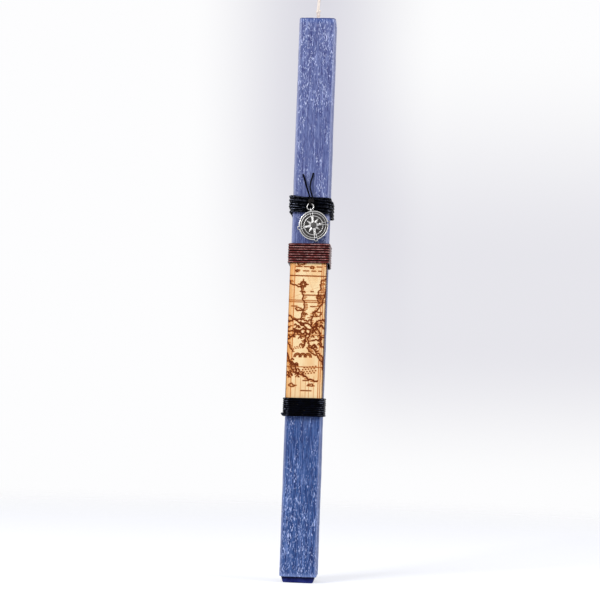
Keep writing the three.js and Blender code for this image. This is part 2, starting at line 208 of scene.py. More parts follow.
def drill(piece, place, radius, depth, sides):
    """Cuts an upright round hole with a Boolean."""
    pick()
    bpy.ops.mesh.primitive_cylinder_add(vertices=sides, radius=radius, depth=depth, location=place)
    cutter = start_from("drill")
    close_edit()
    modify(piece, "BOOLEAN", object=cutter, operation="DIFFERENCE", solver="EXACT")
    bpy.data.objects.remove(cutter)


def join(name, pieces):
    pick(*pieces)
    bpy.ops.object.join()
    whole = bpy.context.object
    whole.name = name
    whole.data.name = name
    return whole


def settle(piece, body, node, smooth):
    """The piece takes a node's place and moves with its body. Edges that bend less than smooth, in degrees,
    are shaded round."""
    pick(piece)
    bpy.ops.object.shade_smooth_by_angle(angle=math.radians(smooth))
    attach(piece, body)
    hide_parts(node)
    triangles = sum(len(face.vertices) - 2 for face in piece.data.polygons)
    print(f"{piece.name}: {triangles} triangles")


# %% [markdown]
# ## Helpers for finishes
# A shader is easier to read as arithmetic than as a heap of nodes. A `Wire` is one output of a node, and
# adding or multiplying wires adds the Math node that does it. Every other node comes from `Finish.node`,
# which also takes a colour as painters write it, #rrggbb.

# %% Shader arithmetic


def paint(code):
    """A colour written #rrggbb, as the linear red, green, blue and alpha of a shader."""
    shares = [int(code[i : i + 2], 16) / 255 for i in (1, 3, 5)]
    linear = [s / 12.92 if s <= 0.04045 else ((s + 0.055) / 1.055) ** 2.4 for s in shares]
    return (*linear, 1.0)


class Wire:
    """One output of a node in a finish."""

    def __init__(self, finish, socket):
        self.finish = finish
        self.socket = socket

    def math(self, operation, *others):
        values = dict(enumerate((self, *others)))
        return self.finish.node("Math", values, operation=operation)

    def __add__(self, other):
        return self.math("ADD", other)

    def __sub__(self, other):
        return self.math("SUBTRACT", other)

    def __mul__(self, other):
        return self.math("MULTIPLY", other)

    def __rsub__(self, other):
        return self.finish.node("Math", {0: other, 1: self}, operation="SUBTRACT")

    __radd__ = __add__


# %% Nodes of a finish


class Finish:
    """The nodes of a material, or of the world, under construction."""

    def __init__(self, owner):
        self.owner = owner
        owner.use_nodes = True
        self.tree = owner.node_tree
        self.tree.nodes.clear()

    def node(self, kind, inputs, output=0, **settings):
        """Adds a node: first its settings, then its sockets' values, colours or links."""
        made = self.tree.nodes.new("ShaderNode" + kind)
        for key, value in settings.items():
            setattr(made, key, value)
        for key, value in inputs.items():
            if isinstance(value, Wire):
                self.tree.links.new(value.socket, made.inputs[key])
            else:
                made.inputs[key].default_value = paint(value) if isinstance(value, str) else value
        return Wire(self, made.outputs[output]) if made.outputs else None

    def place(self):
        return self.node("TexCoord", {}, output="Object")

    def axes(self, vector):
        """The vector's X, Y and Z."""
        split = self.node("SeparateXYZ", {0: vector}).socket.node
        return [Wire(self, socket) for socket in split.outputs]

    def noise(self, vector, *counts, detail=2.0, roughness=0.5):
        """Soft noise from 0 to 1, with about so many features to a unit of the vector. There is one count
        for all axes, or one for each."""
        stretched = self.node("VectorMath", {0: vector, 1: (counts * 3)[:3]}, operation="MULTIPLY")
        sockets = {"Vector": stretched, "Scale": 1.0, "Detail": detail, "Roughness": roughness}
        return self.node("TexNoise", sockets)

    def step(self, value, low, high):
        """0 below low, 1 above high and smooth between them. low may be above high, to turn it round."""
        sockets = {"Value": value, "From Min": low, "From Max": high}
        return self.node("MapRange", sockets, interpolation_type="SMOOTHSTEP")

    def mix(self, share, first, second):
        """first where share is 0 and second where it is 1, as colours."""
        return self.node("Mix", {0: share, 6: first, 7: second}, output=2, data_type="RGBA")

    def layer(self, colour, *layers):
        """The colour with others laid over it in turn, each given by its share and colour."""
        for share, over in layers:
            colour = self.mix(share, colour, over)
        return colour

    def bump(self, height, depth, strength):
        return self.node("Bump", {"Height": height, "Distance": depth, "Strength": strength})

    def surface(self, **sockets):
        """The Principled shader on the output. Names use _ for a space."""
        named = {key.replace("_", " "): value for key, value in sockets.items()}
        self.node("OutputMaterial", {"Surface": self.node("BsdfPrincipled", named)})
        return self.owner


def new_finish(name):
    return Finish(bpy.data.materials.new(name))


def dress(piece, material):
    piece.data.materials.clear()
    piece.data.materials.append(material)
    print(f"{piece.name} is dressed in {material.name}")


# %% [markdown]
# ## Wax bar
# The bar was cast square, its upright corners softened by hand, and its sides brushed along their length,
# which leaves shallow furrows. A cube with beveled edges gives the form. Cuts across and along it make a
# mesh fine enough for the Displace modifier, whose clouds are read through a tall empty, so that they are
# drawn out upright. The wick's bore is cut last, with a Boolean.

# %% Model the wax bar
CORNER = 2.5 * MM
RIM = 0.9 * MM
LOWER_RIM = 0.4 * MM
UPRIGHT_CUTS = 240
CROSS_CUTS = 44
WICK_BORE = 0.85 * MM
WICK_START = 3 * MM


def is_upright(edge):
    run = run_of(edge)
    return abs(run.z) > TOP / 2 and abs(run.x) + abs(run.y) < 1e-6


def furrow(piece, name, width, drawn_out, depth):
    """Pushes the surface in and out by clouds that are drawn out along Z."""
    clouds = bpy.data.textures.new(name, "CLOUDS")
    clouds.noise_scale = width
    settings = {"texture": clouds, "texture_coords": "OBJECT", "strength": depth}
    modify_by_guide(piece, "DISPLACE", "texture_coords_object", scale=(1, 1, drawn_out), **settings)


def drill_wick_bore(piece):
    depth = TOP + 10 * MM - WICK_START
    drill(piece, (0, 0, WICK_START + depth / 2), WICK_BORE, depth, 24)


def pull_round_wick(radius, lift):
    """In edit mode, raises or lowers the top face softly round the wick."""
    choose("verts", lambda vert: vert.co.z > TOP - RIM / 2 and vert.co.xy.length < radius)
    soft = {"use_proportional_edit": True, "proportional_size": 1.5 * radius}
    bpy.ops.transform.translate(value=(0, 0, lift), **soft)


def wax_bar():
    height = TOP - FOOT_HEIGHT
    pick()
    bpy.ops.mesh.primitive_cube_add(size=1, location=(0, 0, FOOT_HEIGHT + height / 2))
    bar = start_from("wax_bar", (2 * HALF, 2 * HALF, height))
    choose("edges", is_upright)
    bpy.ops.mesh.bevel(offset=CORNER, segments=6)
    for low, high, rim in ((0, TOP / 2, LOWER_RIM), (TOP / 2, 2 * TOP, RIM)):
        choose("edges", lambda edge: low < middle(edge).z < high and not is_upright(edge))
        bpy.ops.mesh.bevel(offset=rim, segments=3)
    choose("edges", is_upright)
    bpy.ops.mesh.subdivide(number_cuts=UPRIGHT_CUTS)
    choose("edges", lambda edge: max(abs(run_of(edge).x), abs(run_of(edge).y)) > HALF)
    bpy.ops.mesh.subdivide(number_cuts=CROSS_CUTS)
    choose("faces", facing_up)
    bpy.ops.mesh.delete(type="ONLY_FACE")
    choose("edges", lambda edge: edge.is_boundary)
    bpy.ops.mesh.fill_grid(span=CROSS_CUTS)
    pull_round_wick(6 * MM, -0.35 * MM)
    pull_round_wick(1.4 * MM, 0.5 * MM)
    close_edit()
    furrow(bar, "broad_furrows", 6 * MM, 6, 0.45 * MM)
    furrow(bar, "fine_furrows", 1.3 * MM, 5, 0.3 * MM)
    drill_wick_bore(bar)
    return bar


bar = wax_bar()
settle(bar, "candle", "candle_body", 35)

# %% [markdown]
# ## Foot
# Below the bar the bare core of the candle shows: smoother and darker wax, tapered so that it drops into a
# holder. It is a short block whose lower face is scaled down in edit mode.

# %% Model the foot
FOOT_INSET = 1.3 * MM
FOOT_TAPER = 1.2 * MM
FOOT_SUNK = 1.5 * MM
FOOT_CORNER = 1.8 * MM
FOOT_RIM = 0.8 * MM


def wax_foot():
    half = HALF - FOOT_INSET
    pick()
    bpy.ops.mesh.primitive_cube_add(size=1, location=(0, 0, FOOT_HEIGHT / 2))
    foot = start_from("wax_foot", (2 * half, 2 * half, FOOT_HEIGHT))
    choose("faces", facing_down)
    narrow((half - FOOT_TAPER) / half)
    choose("faces", facing_up)
    extrude(0, 0, FOOT_SUNK)
    choose("edges", lambda edge: abs(run_of(edge).z) > FOOT_SUNK / 2)
    bpy.ops.mesh.bevel(offset=FOOT_CORNER, segments=6)
    choose("edges", lambda edge: middle(edge).z < 1e-6)
    bpy.ops.mesh.bevel(offset=FOOT_RIM, segments=4)
    close_edit()
    drill_wick_bore(foot)
    return foot


foot = wax_foot()
settle(foot, "candle", "candle_body", 35)

# %% [markdown]
# ## Tubes along a route
# The wick's strands, the cords and the tie are all tubes along a route. Each ring of a tube is set square to
# the route, turned so that its first point faces a given way, and the tube carries a UV map that runs round
# it and along it in millimetres, so that a twist or a grain can follow the cord.

# %% Tube helper


def tube(name, centres, outs, radii, sides):
    """A closed tube through the centres. outs says which way each ring's first point faces."""
    centres = np.array(centres, float)
    outs = np.array(outs, float)
    along = np.gradient(centres, axis=0)
    along /= np.linalg.norm(along, axis=1, keepdims=True)
    first = outs - along * np.sum(outs * along, axis=1, keepdims=True)
    first /= np.linalg.norm(first, axis=1, keepdims=True)
    second = np.cross(along, first)
    angles = np.arange(sides) * 2 * math.pi / sides
    count = len(centres)
    radii = np.broadcast_to(np.array(radii, float), count)
    spread = first[:, None] * np.cos(angles)[:, None] + second[:, None] * np.sin(angles)[:, None]
    points = (centres[:, None] + spread * radii[:, None, None]).reshape(-1, 3)
    corners = [
        ((s, r), (s + 1, r), (s + 1, r + 1), (s, r + 1)) for r in range(count - 1) for s in range(sides)
    ]
    faces = [[r * sides + s % sides for s, r in face] for face in corners]
    ends = [tuple(reversed(range(sides))), tuple(range((count - 1) * sides, count * sides))]
    mesh = bpy.data.meshes.new(name)
    mesh.from_pydata(points.tolist(), [], faces + ends)
    steps = np.linalg.norm(np.diff(centres, axis=0), axis=1)
    run = np.concatenate([[0], np.cumsum(steps)]) / MM
    corners += [[(0, 0)] * sides, [(0, count - 1)] * sides]
    places = [v for face in corners for s, r in face for v in (s / sides, run[r])]
    mesh.uv_layers.new(name="cord").data.foreach_set("uv", places)
    return add_object(name, mesh)


def curve_through(points, steps):
    """Points of a smooth curve through the given ones, as many steps between each two."""
    points = [Vector(p) for p in points]
    padded = [2 * points[0] - points[1], *points, 2 * points[-1] - points[-2]]
    found = []
    for a, b, c, d in zip(padded, padded[1:], padded[2:], padded[3:]):
        for i in range(steps):
            t = i / steps
            bend = (2 * a - 5 * b + 4 * c - d) * t * t + (3 * b - a - 3 * c + d) * t**3
            found.append(b + ((c - a) * t + bend) / 2)
    return [*found, points[-1]]


def steady_outs(centres, start):
    """A direction for each centre, carried along the route with as little turning as can be."""
    outs = [Vector(start)]
    for before, after in zip(centres, centres[1:]):
        along = (after - before).normalized()
        out = outs[-1] - along * outs[-1].dot(along)
        outs.append(out.normalized())
    return outs


# %% [markdown]
# ## Wick
# A candle wick is plaited cotton. In a plait each strand swings from side to side once while it passes
# over and under the others twice, so two sine waves draw it. Inside the bar the wick is one plain tube, and
# only the free end is plaited. A lump of soaked-up wax sits a little above the bar.

# %% Model the wick
WICK_TOP = TOP + 30 * MM
WICK_ROUTE = [(0, -6), (0, 0), (-0.7, 7), (-0.4, 13.5), (0.1, 19.5), (0.6, 25.5), (0.8, 30)]
PLAIT_PITCH = 4.2 * MM
PLAIT_SWING = 0.52 * MM
PLAIT_DEPTH = 0.25 * MM
STRAND_RADIUS = 0.58 * MM
FRAYED = 2 * MM
LUMPS = [(-0.65, 7.6, 1.4), (0.6, 8.3, 0.75), (-0.2, 5.5, 1.2)]


def wick_strand(index):
    line = curve_through([(x * MM, 0, TOP + z * MM) for x, z in WICK_ROUTE], 30)
    centres = []
    for point in line:
        turn = 2 * math.pi * (point.z / PLAIT_PITCH + index / 3)
        fray = 1 + 1.2 * max(0, (point.z - WICK_TOP + FRAYED) / FRAYED) ** 2
        side = PLAIT_SWING * math.sin(turn) * fray
        centres.append(point + Vector((side, PLAIT_DEPTH * math.sin(2 * turn) * fray, 0)))
    return tube(f"strand_{index}", centres, [(0, -1, 0)] * len(centres), STRAND_RADIUS, 10)


def wax_lump():
    pick()
    lumps = []
    for x, z, size in LUMPS:
        place = (x * MM, 0, TOP + z * MM)
        bpy.ops.mesh.primitive_ico_sphere_add(subdivisions=4, radius=size * MM, location=place)
        lumps.append(start_from("wax_lump", (1.1, 0.9, 1)))
        close_edit()
    lump = join("wax_lump", lumps)
    furrow(lump, "lumps", 0.9 * MM, 1, 0.8 * MM)
    return lump


def wick():
    inside = [(0, 0, WICK_START), (0, 0, TOP - 2 * MM)]
    core = tube("core", inside, [(0, -1, 0)] * 2, WICK_BORE, 12)
    strands = [wick_strand(index) for index in range(3)]
    return join("wick_plait", [core, *strands, wax_lump()])


wick_piece = wick()
settle(wick_piece, "candle", "wick", 60)

# %% [markdown]
# ## Engraved plate
# The plate is thin plywood with a chart burnt into it by a laser, which cuts about a tenth of a millimetre
# deep and scorches what it cuts. The chart here is a made-up one: invented coasts and islands with hatched
# shores, hills, soundings, a compass star and rhumb lines. Each is a list of strokes in millimetres. The
# front face is a fine grid, whose points under a stroke move inwards and keep how burnt they are in an
# attribute for the finish.

# %% Marks of a chart
PLATE_WIDTH = 26
PLATE_LENGTH = 119.5
chance = random.Random(4)


def wander(start, end, swing, rounds=5):
    """A coast: a line whose every half is pushed aside by chance, again and again."""
    points = [start, end]
    for _ in range(rounds):
        bent = [points[0]]
        for (ax, az), (bx, bz) in zip(points, points[1:]):
            push = chance.uniform(-swing, swing)
            bent += [((ax + bx) / 2 + push * (bz - az), (az + bz) / 2 - push * (bx - ax)), (bx, bz)]
        points = bent
    return points


def island(x, z, wide, tall, count=18):
    """A closed coast round a place."""
    lobes = [chance.uniform(0, 2 * math.pi) for _ in range(3)]
    points = []
    for i in range(count + 1):
        angle = 2 * math.pi * (i % count) / count
        swell = 1 + 0.16 * sum(math.sin((k + 2) * angle + lobe) for k, lobe in enumerate(lobes))
        points.append((x + wide * swell * math.cos(angle), z + tall * swell * math.sin(angle)))
    return points


def shore_hatching(coast, side, reach, gap):
    """Short level strokes off a coast, on its left, -1, or right, 1."""
    strokes = []
    last = math.inf
    for x, z in coast:
        if abs(z - last) > gap:
            last = z
            strokes.append([(x, z), (x + side * reach * chance.uniform(0.45, 1), z)])
    return strokes


def hill(x, z, size):
    back = [(-1, 0), (-0.35, 0.9), (0, 1), (0.9, 0.1)]
    shades = [[(k, 0.8 - k), (k + 0.1, 0.1)] for k in (0.2, 0.5)]
    return [[(x + a * size, z + b * size) for a, b in line] for line in (back, *shades)]


def soundings(x, z, columns, rows, gap):
    """Dots in slanted rows, drawn as very short strokes."""
    dots = []
    for row in range(rows):
        for column in range(columns):
            at = (x + gap * (column + 0.5 * (row % 2)), z + 0.75 * gap * row + 0.3 * column)
            dots.append([at, (at[0] + 0.18, at[1])])
    return dots


def rose(x, z, size):
    """A small compass star with its ring."""

    def spot(reach, angle):
        return (x + reach * size * math.cos(angle), z + reach * size * math.sin(angle))

    strokes = [[spot(1, k * math.pi / 12) for k in range(25)]]
    for k in range(8):
        angle = k * math.pi / 4
        tip = spot(1.1 if k % 2 else 1.7, angle)
        strokes += [[spot(0.4, angle + turn), tip] for turn in (-0.5, 0.5)]
    return strokes


# %% Draw the chart


def chart():
    """The strokes of the chart, each as its points, its width and how deep it is burnt. The face runs from
    -13 to 13 across and from 0 to 119.5 upwards."""
    strokes = []

    def draw(lines, width, burn=1.0):
        strokes.extend((line, width, burn) for line in lines)

    def draw_coast(coast, width, side, reach, gap=0.8):
        draw([coast], width)
        draw(shore_hatching(coast, side, reach, gap), 0.4, 0.8)

    def draw_islands(places, reach):
        for place in places:
            draw_coast(island(*place), 0.5, 1, reach, 0.6)

    def draw_hills(count, across, upward, largest):
        for _ in range(count):
            draw(hill(chance.uniform(*across), chance.uniform(*upward), chance.uniform(0.9, largest)), 0.5)

    draw([[(x, 0), (x, PLATE_LENGTH)] for x in (-9.4, 9.6, 10.9)], 0.36, 0.65)
    draw([[(-13, z), (13, z)] for z in (33.5, 56, 79, 80.2)], 0.4, 0.8)
    draw([[(-13, z), (13, z)] for z in (97.5, 112)], 0.6, 0.9)
    draw([[(x, 0), (x, 27)] for x in (-6.2, -2.6, 0.8, 3.1, 6.6)], 0.2, 0.5)
    rhumbs = [(math.cos(k * math.pi / 8), math.sin(k * math.pi / 8)) for k in (1, 5)]
    draw([[(3.5 - 40 * a, 88 - 40 * b), (3.5 + 40 * a, 88 + 40 * b)] for a, b in rhumbs], 0.1, 0.4)
    draw(rose(-3.2, 91.5, 2.1), 0.42)

    draw_coast(wander((13, 107), (3, 66), 0.2, 6), 0.75, -1, 3.2)
    draw_coast(wander((-13, 94), (-7, 66), 0.24), 0.7, 1, 2.6)
    draw_coast(wander((13, 96), (8, 78), 0.3), 0.6, 1, 3)
    for start, end, width in (
        ((-13, 66), (7, 62), 0.8), ((-13, 69.5), (3, 66.5), 0.6), ((-9, 60), (13, 66), 0.8),
        ((-13, 58.5), (-2, 55), 0.7), ((-13, 53), (3, 59), 0.7), ((-4, 65), (-2, 47), 0.8),
        ((3, 66), (9, 45), 0.7), ((8, 64), (13, 47), 0.8), ((-11, 62), (-9, 44), 0.6),
        ((4, 52), (13, 55), 0.7), ((3, 59.5), (13, 60.5), 0.6),
    ):
        draw_coast(wander(start, end, 0.32, 6), width, chance.choice((-1, 1)), 2, 1.15)
    draw_hills(22, (-12, 11), (46, 66), 1.6)
    draw_islands([(-6, 74, 1.9, 1.2), (7.5, 71, 2.4, 1.5), (-1.5, 70.5, 1, 0.7), (8, 82.5, 1.6, 1)], 1.6)

    draw_coast(wander((-13, 43), (9, 24), 0.24, 6), 0.85, -1, 3, 0.7)
    draw_coast(wander((-13, 37), (0, 27), 0.3, 6), 0.6, -1, 2.4, 0.7)
    draw_coast(wander((1, 47), (13, 29), 0.26, 6), 0.7, 1, 2.6, 0.75)
    draw_coast(wander((6, 46), (13, 37), 0.3), 0.6, 1, 2.6, 0.75)
    half_turn = np.linspace(0, math.pi, 9)
    for x in (-5.4, -1.8, 1.8):
        draw([[(x + r * math.cos(a), 40.5 + r * math.sin(a)) for a in half_turn] for r in (2.5, 1.5)], 0.6)
    draw(soundings(-1.5, 28.5, 5, 4, 2), 0.65)
    draw(soundings(-8.5, 46, 4, 2, 1.6), 0.5, 0.9)
    draw_hills(14, (-12, -3), (25, 41), 1.5)
    for _ in range(30):
        x = chance.uniform(-12, 9)
        z = chance.choice((17, 20.5, 24, 69, 73, 76, 84, 86.5, 101, 104, 108, 116))
        draw([[(x, z), (x + chance.uniform(1.4, 4.4), z)]], 0.5, 0.95)
    draw([island(4.5, 21, 1.5, 0.8), island(-9, 20.5, 1.8, 1.1)], 0.5)
    draw_coast(wander((3, 119.5), (13, 110), 0.26, 6), 0.7, -1, 2.4)
    draw_coast(wander((-13, 112), (-6, 119.5), 0.26, 5), 0.6, 1, 2)
    draw_islands([(-5.5, 106, 2.2, 1.1), (2.5, 103.5, 1.2, 0.8), (-8, 101, 1, 0.6)], 1.4)
    return strokes


chart_strokes = chart()
print("chart:", len(chart_strokes), "strokes")

# %% Burn it into the plate
ENGRAVED = 0.14 * MM
GRID_STEP = 0.2
EDGE_SOFT = 0.12
BEAM = 0.18
SCORCH_REACH = 0.6
SCORCH = 0.45


def burn_in(strokes):
    """How burnt each point of the face's grid is, from 0 to 1, by rows upwards and columns to the right."""
    columns = round(PLATE_WIDTH / GRID_STEP)
    rows = round(PLATE_LENGTH / GRID_STEP)
    across = np.linspace(-PLATE_WIDTH / 2, PLATE_WIDTH / 2, columns + 1)
    upward = np.linspace(0, PLATE_LENGTH, rows + 1)
    burn = np.zeros((rows + 1, columns + 1))
    for points, width, strength in strokes:
        core = (width + BEAM) / 2
        reach = core + SCORCH_REACH
        for (ax, az), (bx, bz) in zip(points, points[1:]):
            left, right = np.searchsorted(across, (min(ax, bx) - reach, max(ax, bx) + reach))
            low, high = np.searchsorted(upward, (min(az, bz) - reach, max(az, bz) + reach))
            x, z = np.meshgrid(across[left:right], upward[low:high])
            run_x, run_z = bx - ax, bz - az
            share = ((x - ax) * run_x + (z - az) * run_z) / max(run_x**2 + run_z**2, 1e-9)
            share = np.clip(share, 0, 1)
            away = np.hypot(x - ax - share * run_x, z - az - share * run_z)
            cut = np.clip((core + EDGE_SOFT - away) / (2 * EDGE_SOFT), 0, 1)
            halo = SCORCH * np.clip((reach - away) / SCORCH_REACH, 0, 1)
            mark = strength * np.maximum(cut, halo)
            burn[low:high, left:right] = np.maximum(burn[low:high, left:right], mark)
    return burn


def engraved_plate():
    pick()
    burn = burn_in(chart_strokes)
    rows, columns = (count - 1 for count in burn.shape)
    middle_z = (plate_low.z + plate_high.z) / 2
    turned = {"location": (0, PLATE_FRONT, middle_z), "rotation": (math.radians(90), 0, 0)}
    bpy.ops.mesh.primitive_grid_add(x_subdivisions=columns, y_subdivisions=rows, size=1, **turned)
    plate = start_from("engraved_plate", (PLATE_WIDTH * MM, PLATE_LENGTH * MM, 1))
    close_edit()
    burnt = plate.data.attributes.new("burn", "FLOAT", "POINT")
    for vert, mark in zip(plate.data.vertices, burnt.data):
        row = round((vert.co.z - plate_low.z) / MM / GRID_STEP)
        column = round((vert.co.x + HALF) / MM / GRID_STEP)
        mark.value = burn[row, column]
        vert.co.y += ENGRAVED * max(0, mark.value - SCORCH) / (1 - SCORCH)
    bpy.ops.object.mode_set(mode="EDIT")
    choose("edges", lambda edge: edge.is_boundary)
    extrude(0, plate_high.y - plate_low.y, 0)
    bpy.ops.mesh.edge_face_add()
    face_outwards()
    close_edit()
    return plate


plate = engraved_plate()
settle(plate, "candle", "map_plate", 50)

# %% [markdown]
# ## Cord windings
# Each winding is one cord. Its route is worked out place by place round a section of the candle: the middle
# of a side, then the steps of a corner, rising or sinking all the time. The measured model draws the cords
# thin, so that their turns stay apart, and here they have their real thickness, lie against the wax and
# touch each other. Small slow waves keep the turns from looking machined.

# %% Routes round the candle
CORNER_STEPS = 8
SIDE_CUTS = 4
STEPS_PER_SIDE = 2 * SIDE_CUTS + CORNER_STEPS
STEPS_PER_TURN = 4 * STEPS_PER_SIDE
FRONT_LEFT = STEPS_PER_SIDE + SIDE_CUTS + CORNER_STEPS
RIGHT_SIDE = 3 * STEPS_PER_SIDE
BAR_SECTION = {"front": FRONT, "front_corner": CORNER}
PLATED_SECTION = {"front": PLATE_FRONT, "front_corner": 0.9 * MM}
CORD_SIDES = 14


def turn_places(section, offset):
    """Points and outward directions of one turn, anticlockwise from the middle of the back."""
    near = section["front"]
    round_ = section["front_corner"]
    middle_y = (near + BACK) / 2
    sides = [
        ((0, BACK), (-HALF + CORNER, BACK - CORNER), CORNER),
        ((-HALF, middle_y), (-HALF + round_, near + round_), round_),
        ((0, near), (HALF - round_, near + round_), round_),
        ((HALF, middle_y), (HALF - CORNER, BACK - CORNER), CORNER),
    ]
    places = []
    for side, (at, corner, radius) in enumerate(sides):
        turned = [math.radians(90 * (side + 1 + step / CORNER_STEPS)) for step in range(CORNER_STEPS + 1)]
        outs = [Vector((math.cos(angle), math.sin(angle), 0)) for angle in turned]
        places.append((Vector((*at, 0)) + outs[0] * offset, outs[0]))
        places += [(Vector((*corner, 0)) + out * (radius + offset), out) for out in outs]
    turn = []
    for i, (a, out) in enumerate(places):
        b = places[(i + 1) % len(places)][0]
        at_middle = i % (CORNER_STEPS + 2) in (0, CORNER_STEPS + 1)
        cuts = SIDE_CUTS if at_middle else 1
        turn += [(a.lerp(b, cut / cuts), out) for cut in range(cuts)]
    return turn


def winding(name, section, steps, radius, rule, stub=()):
    """A cord wound from one step to another. rule(turn) gives its offset from the section, its height and
    its slant after that many turns, and the front's middle is half a turn. stub holds the points of a cut
    end before it, in millimetres from its start."""
    places = [at for at, _ in turn_places(section, rule(0)[0])]
    runs = [(b - a).length for a, b in zip(places, places[1:] + places[:1])]
    shares = np.concatenate([[0], np.cumsum(runs)[:-1]]) / sum(runs)
    centres = []
    outs = []
    for step in range(steps[0], steps[1] + 1):
        turn = step // STEPS_PER_TURN + shares[step % STEPS_PER_TURN]
        offset, height, slant = rule(turn)
        point, out = turn_places(section, offset)[step % STEPS_PER_TURN]
        centres.append(Vector((point.x, point.y, height - slant * point.x)))
        outs.append(out)
    if stub:
        points = [centres[0] + Vector(p) * MM for p in stub]
        bent = curve_through([*points, centres[0]], 6)[:-1]
        centres = bent + centres
        outs = [outs[0]] * len(bent) + outs
    return tube(name, centres, outs, radius, CORD_SIDES)


def waver(turn, seed):
    """A slow wave of at most 1, different from turn to turn."""
    return (math.sin(5.1 * turn + seed) + math.sin(8.3 * turn + 2 * seed) + math.sin(2.3 * turn)) / 3


def growth(turn, start, length):
    """0 until start, then rising to 1 over so many turns."""
    return min(max((turn - start) / length, 0), 1)


# %% [markdown]
# ### The three cords
# The lower cord has a cut end that stands out at the front left corner, and the leather one has an end that
# hangs down on the right. The upper cord goes down in close turns, climbs onto them at the front left corner,
# where the step leaves no gap under the outer turns, and comes back up in wider, slanting and wavier ones.

# %% Wind the three cords
THIN_COTTON = 0.47 * MM
THIN_LEATHER = 0.67 * MM
LOWER_TURNS = 9
LOWER_RADIUS = 0.73 * MM
LOWER_PITCH = 1.44 * MM
LOWER_START = plate_low.z - 0.8 * MM + THIN_COTTON
LOWER_STUB = [(-3.1, 0, 1.5), (-1.7, 0, 0)]
LEATHER_TURNS = 8
LEATHER_RADIUS = 0.89 * MM
LEATHER_PITCH = 1.76 * MM
LEATHER_TOP = plate_high.z + 0.8 * MM
LEATHER_START = LEATHER_TOP - THIN_LEATHER - (LEATHER_TURNS - 0.5) * LEATHER_PITCH
LEATHER_STUB = [(0, -6, -2.8), (0, -6, -1.5), (0, -5.2, -0.7), (0, -3.5, -0.1)]
COTTON_RADIUS = 0.69 * MM
COTTON_PITCH = 1.36 * MM
UPPER_BAND = LEATHER_TOP + 22.6 * MM + THIN_COTTON
INNER_TURNS = 7.75
TURNING = 0.5
CLIMB_START = 8.27
CLIMB_RUN = 0.11
OUTER_START = INNER_TURNS + TURNING
OUTER_TURNS = 4.75
OUTER_OFFSET = 3 * COTTON_RADIUS - 0.1 * MM
OUTER_PITCH = 2.4 * MM
OUTER_SLANT = 0.13


def lower_rule(turn):
    wave = 0.05 * MM * waver(turn, 1)
    lift = 0.12 * MM * (1 + waver(turn, 4))
    return LOWER_RADIUS + lift, LOWER_START + (turn - 0.5) * LOWER_PITCH + wave, 0


def leather_rule(turn):
    wave = 0.06 * MM * waver(turn, 2)
    lift = 0.14 * MM * (1 + waver(turn, 5))
    return LEATHER_RADIUS + lift, LEATHER_START + (turn - 1) * LEATHER_PITCH + wave, 0


def upper_rule(turn):
    drop = min(2 * growth(turn, INNER_TURNS, TURNING), 1)
    climb = growth(turn, CLIMB_START, CLIMB_RUN)
    lean = growth(turn, OUTER_START, TURNING)
    inner = (INNER_TURNS - min(turn, INNER_TURNS)) * COTTON_PITCH
    outer = max(turn - OUTER_START, 0) * OUTER_PITCH
    wave = (0.06 + 0.34 * climb) * MM * waver(turn, 3)
    lift = 0.14 * MM * climb * (1 + waver(turn, 6))
    offset = COTTON_RADIUS + (OUTER_OFFSET - COTTON_RADIUS) * climb + lift
    return offset, UPPER_BAND + inner - drop * MM + outer + wave, OUTER_SLANT * lean


lower_steps = (FRONT_LEFT, LOWER_TURNS * STEPS_PER_TURN)
lower_cord = winding("lower_cord", PLATED_SECTION, lower_steps, LOWER_RADIUS, lower_rule, LOWER_STUB)
leather_steps = (RIGHT_SIDE, (LEATHER_TURNS + 1) * STEPS_PER_TURN)
leather_cord = winding(
    "leather_cord", PLATED_SECTION, leather_steps, LEATHER_RADIUS, leather_rule, LEATHER_STUB
)
upper_steps = (0, round((OUTER_START + OUTER_TURNS) * STEPS_PER_TURN))
upper_cord = winding("upper_cord", BAR_SECTION, upper_steps, COTTON_RADIUS, upper_rule)
settle(lower_cord, "candle", "lower_winding", 60)
settle(leather_cord, "candle", "leather_winding", 60)
settle(upper_cord, "candle", "upper_winding", 60)

# %% [markdown]
# ## Charm tie
# A short thin cord passes twice through the jump ring, is wrapped twice round itself and ends in two cut
# tails, which lean back against the wax. Like any real knot it is one line in space, so it is drawn as one
# route, point by point, and the tube follows it. The points are millimetres from the middle of the knot. The
# cord is drawn tight in the knot, so the free tails are a little thicker.

# %% Tie the knot
HANG_Y = -17.76 * MM
KNOT = Vector((0.2 * MM, HANG_Y, 266.97 * MM))
TIE_RADIUS = 0.5 * MM
TAIL_RADIUS = 0.58 * MM
LEFT_TAIL = [(-6.5, 4.1, 19.3), (-3.9, 2.1, 11), (-1.3, 0.1, 3.6), (-0.6, 0, 1.7), (-0.75, -0.25, 0.3)]
TWICE_THROUGH_RING = [
    (-1.1, -0.7, -1.1), (-1.15, -0.98, -2.0), (-0.9, 0, -2.98), (-0.65, 0.98, -2.0),
    (-0.4, 0, -1.02), (-0.15, -0.98, -2.0), (0.1, 0, -2.98), (0.35, 0.98, -2.0),
]
TWICE_ROUND_ITSELF = [
    (0.75, 1.1, -1.1), (1.75, 0, -0.7), (0.1, -1.3, -0.55), (-1.65, 0, -0.35), (0.1, 1.3, -0.15),
    (1.85, 0, 0.05), (0.1, -1.4, 0.25), (-1.6, 0, 0.45), (0.1, 1.2, 0.6), (1.3, 0.1, 0.85),
]
RIGHT_TAIL = [(0.95, -0.3, 1.7), (0.6, 0, 3.4), (-1.1, 2.1, 11.1), (0.8, 4.1, 20.4)]
tie_route = [*LEFT_TAIL, *TWICE_THROUGH_RING, *TWICE_ROUND_ITSELF, *RIGHT_TAIL]
tie_centres = curve_through([KNOT + Vector(p) * MM for p in tie_route], 12)
above_knot = [centre.z - KNOT.z for centre in tie_centres]
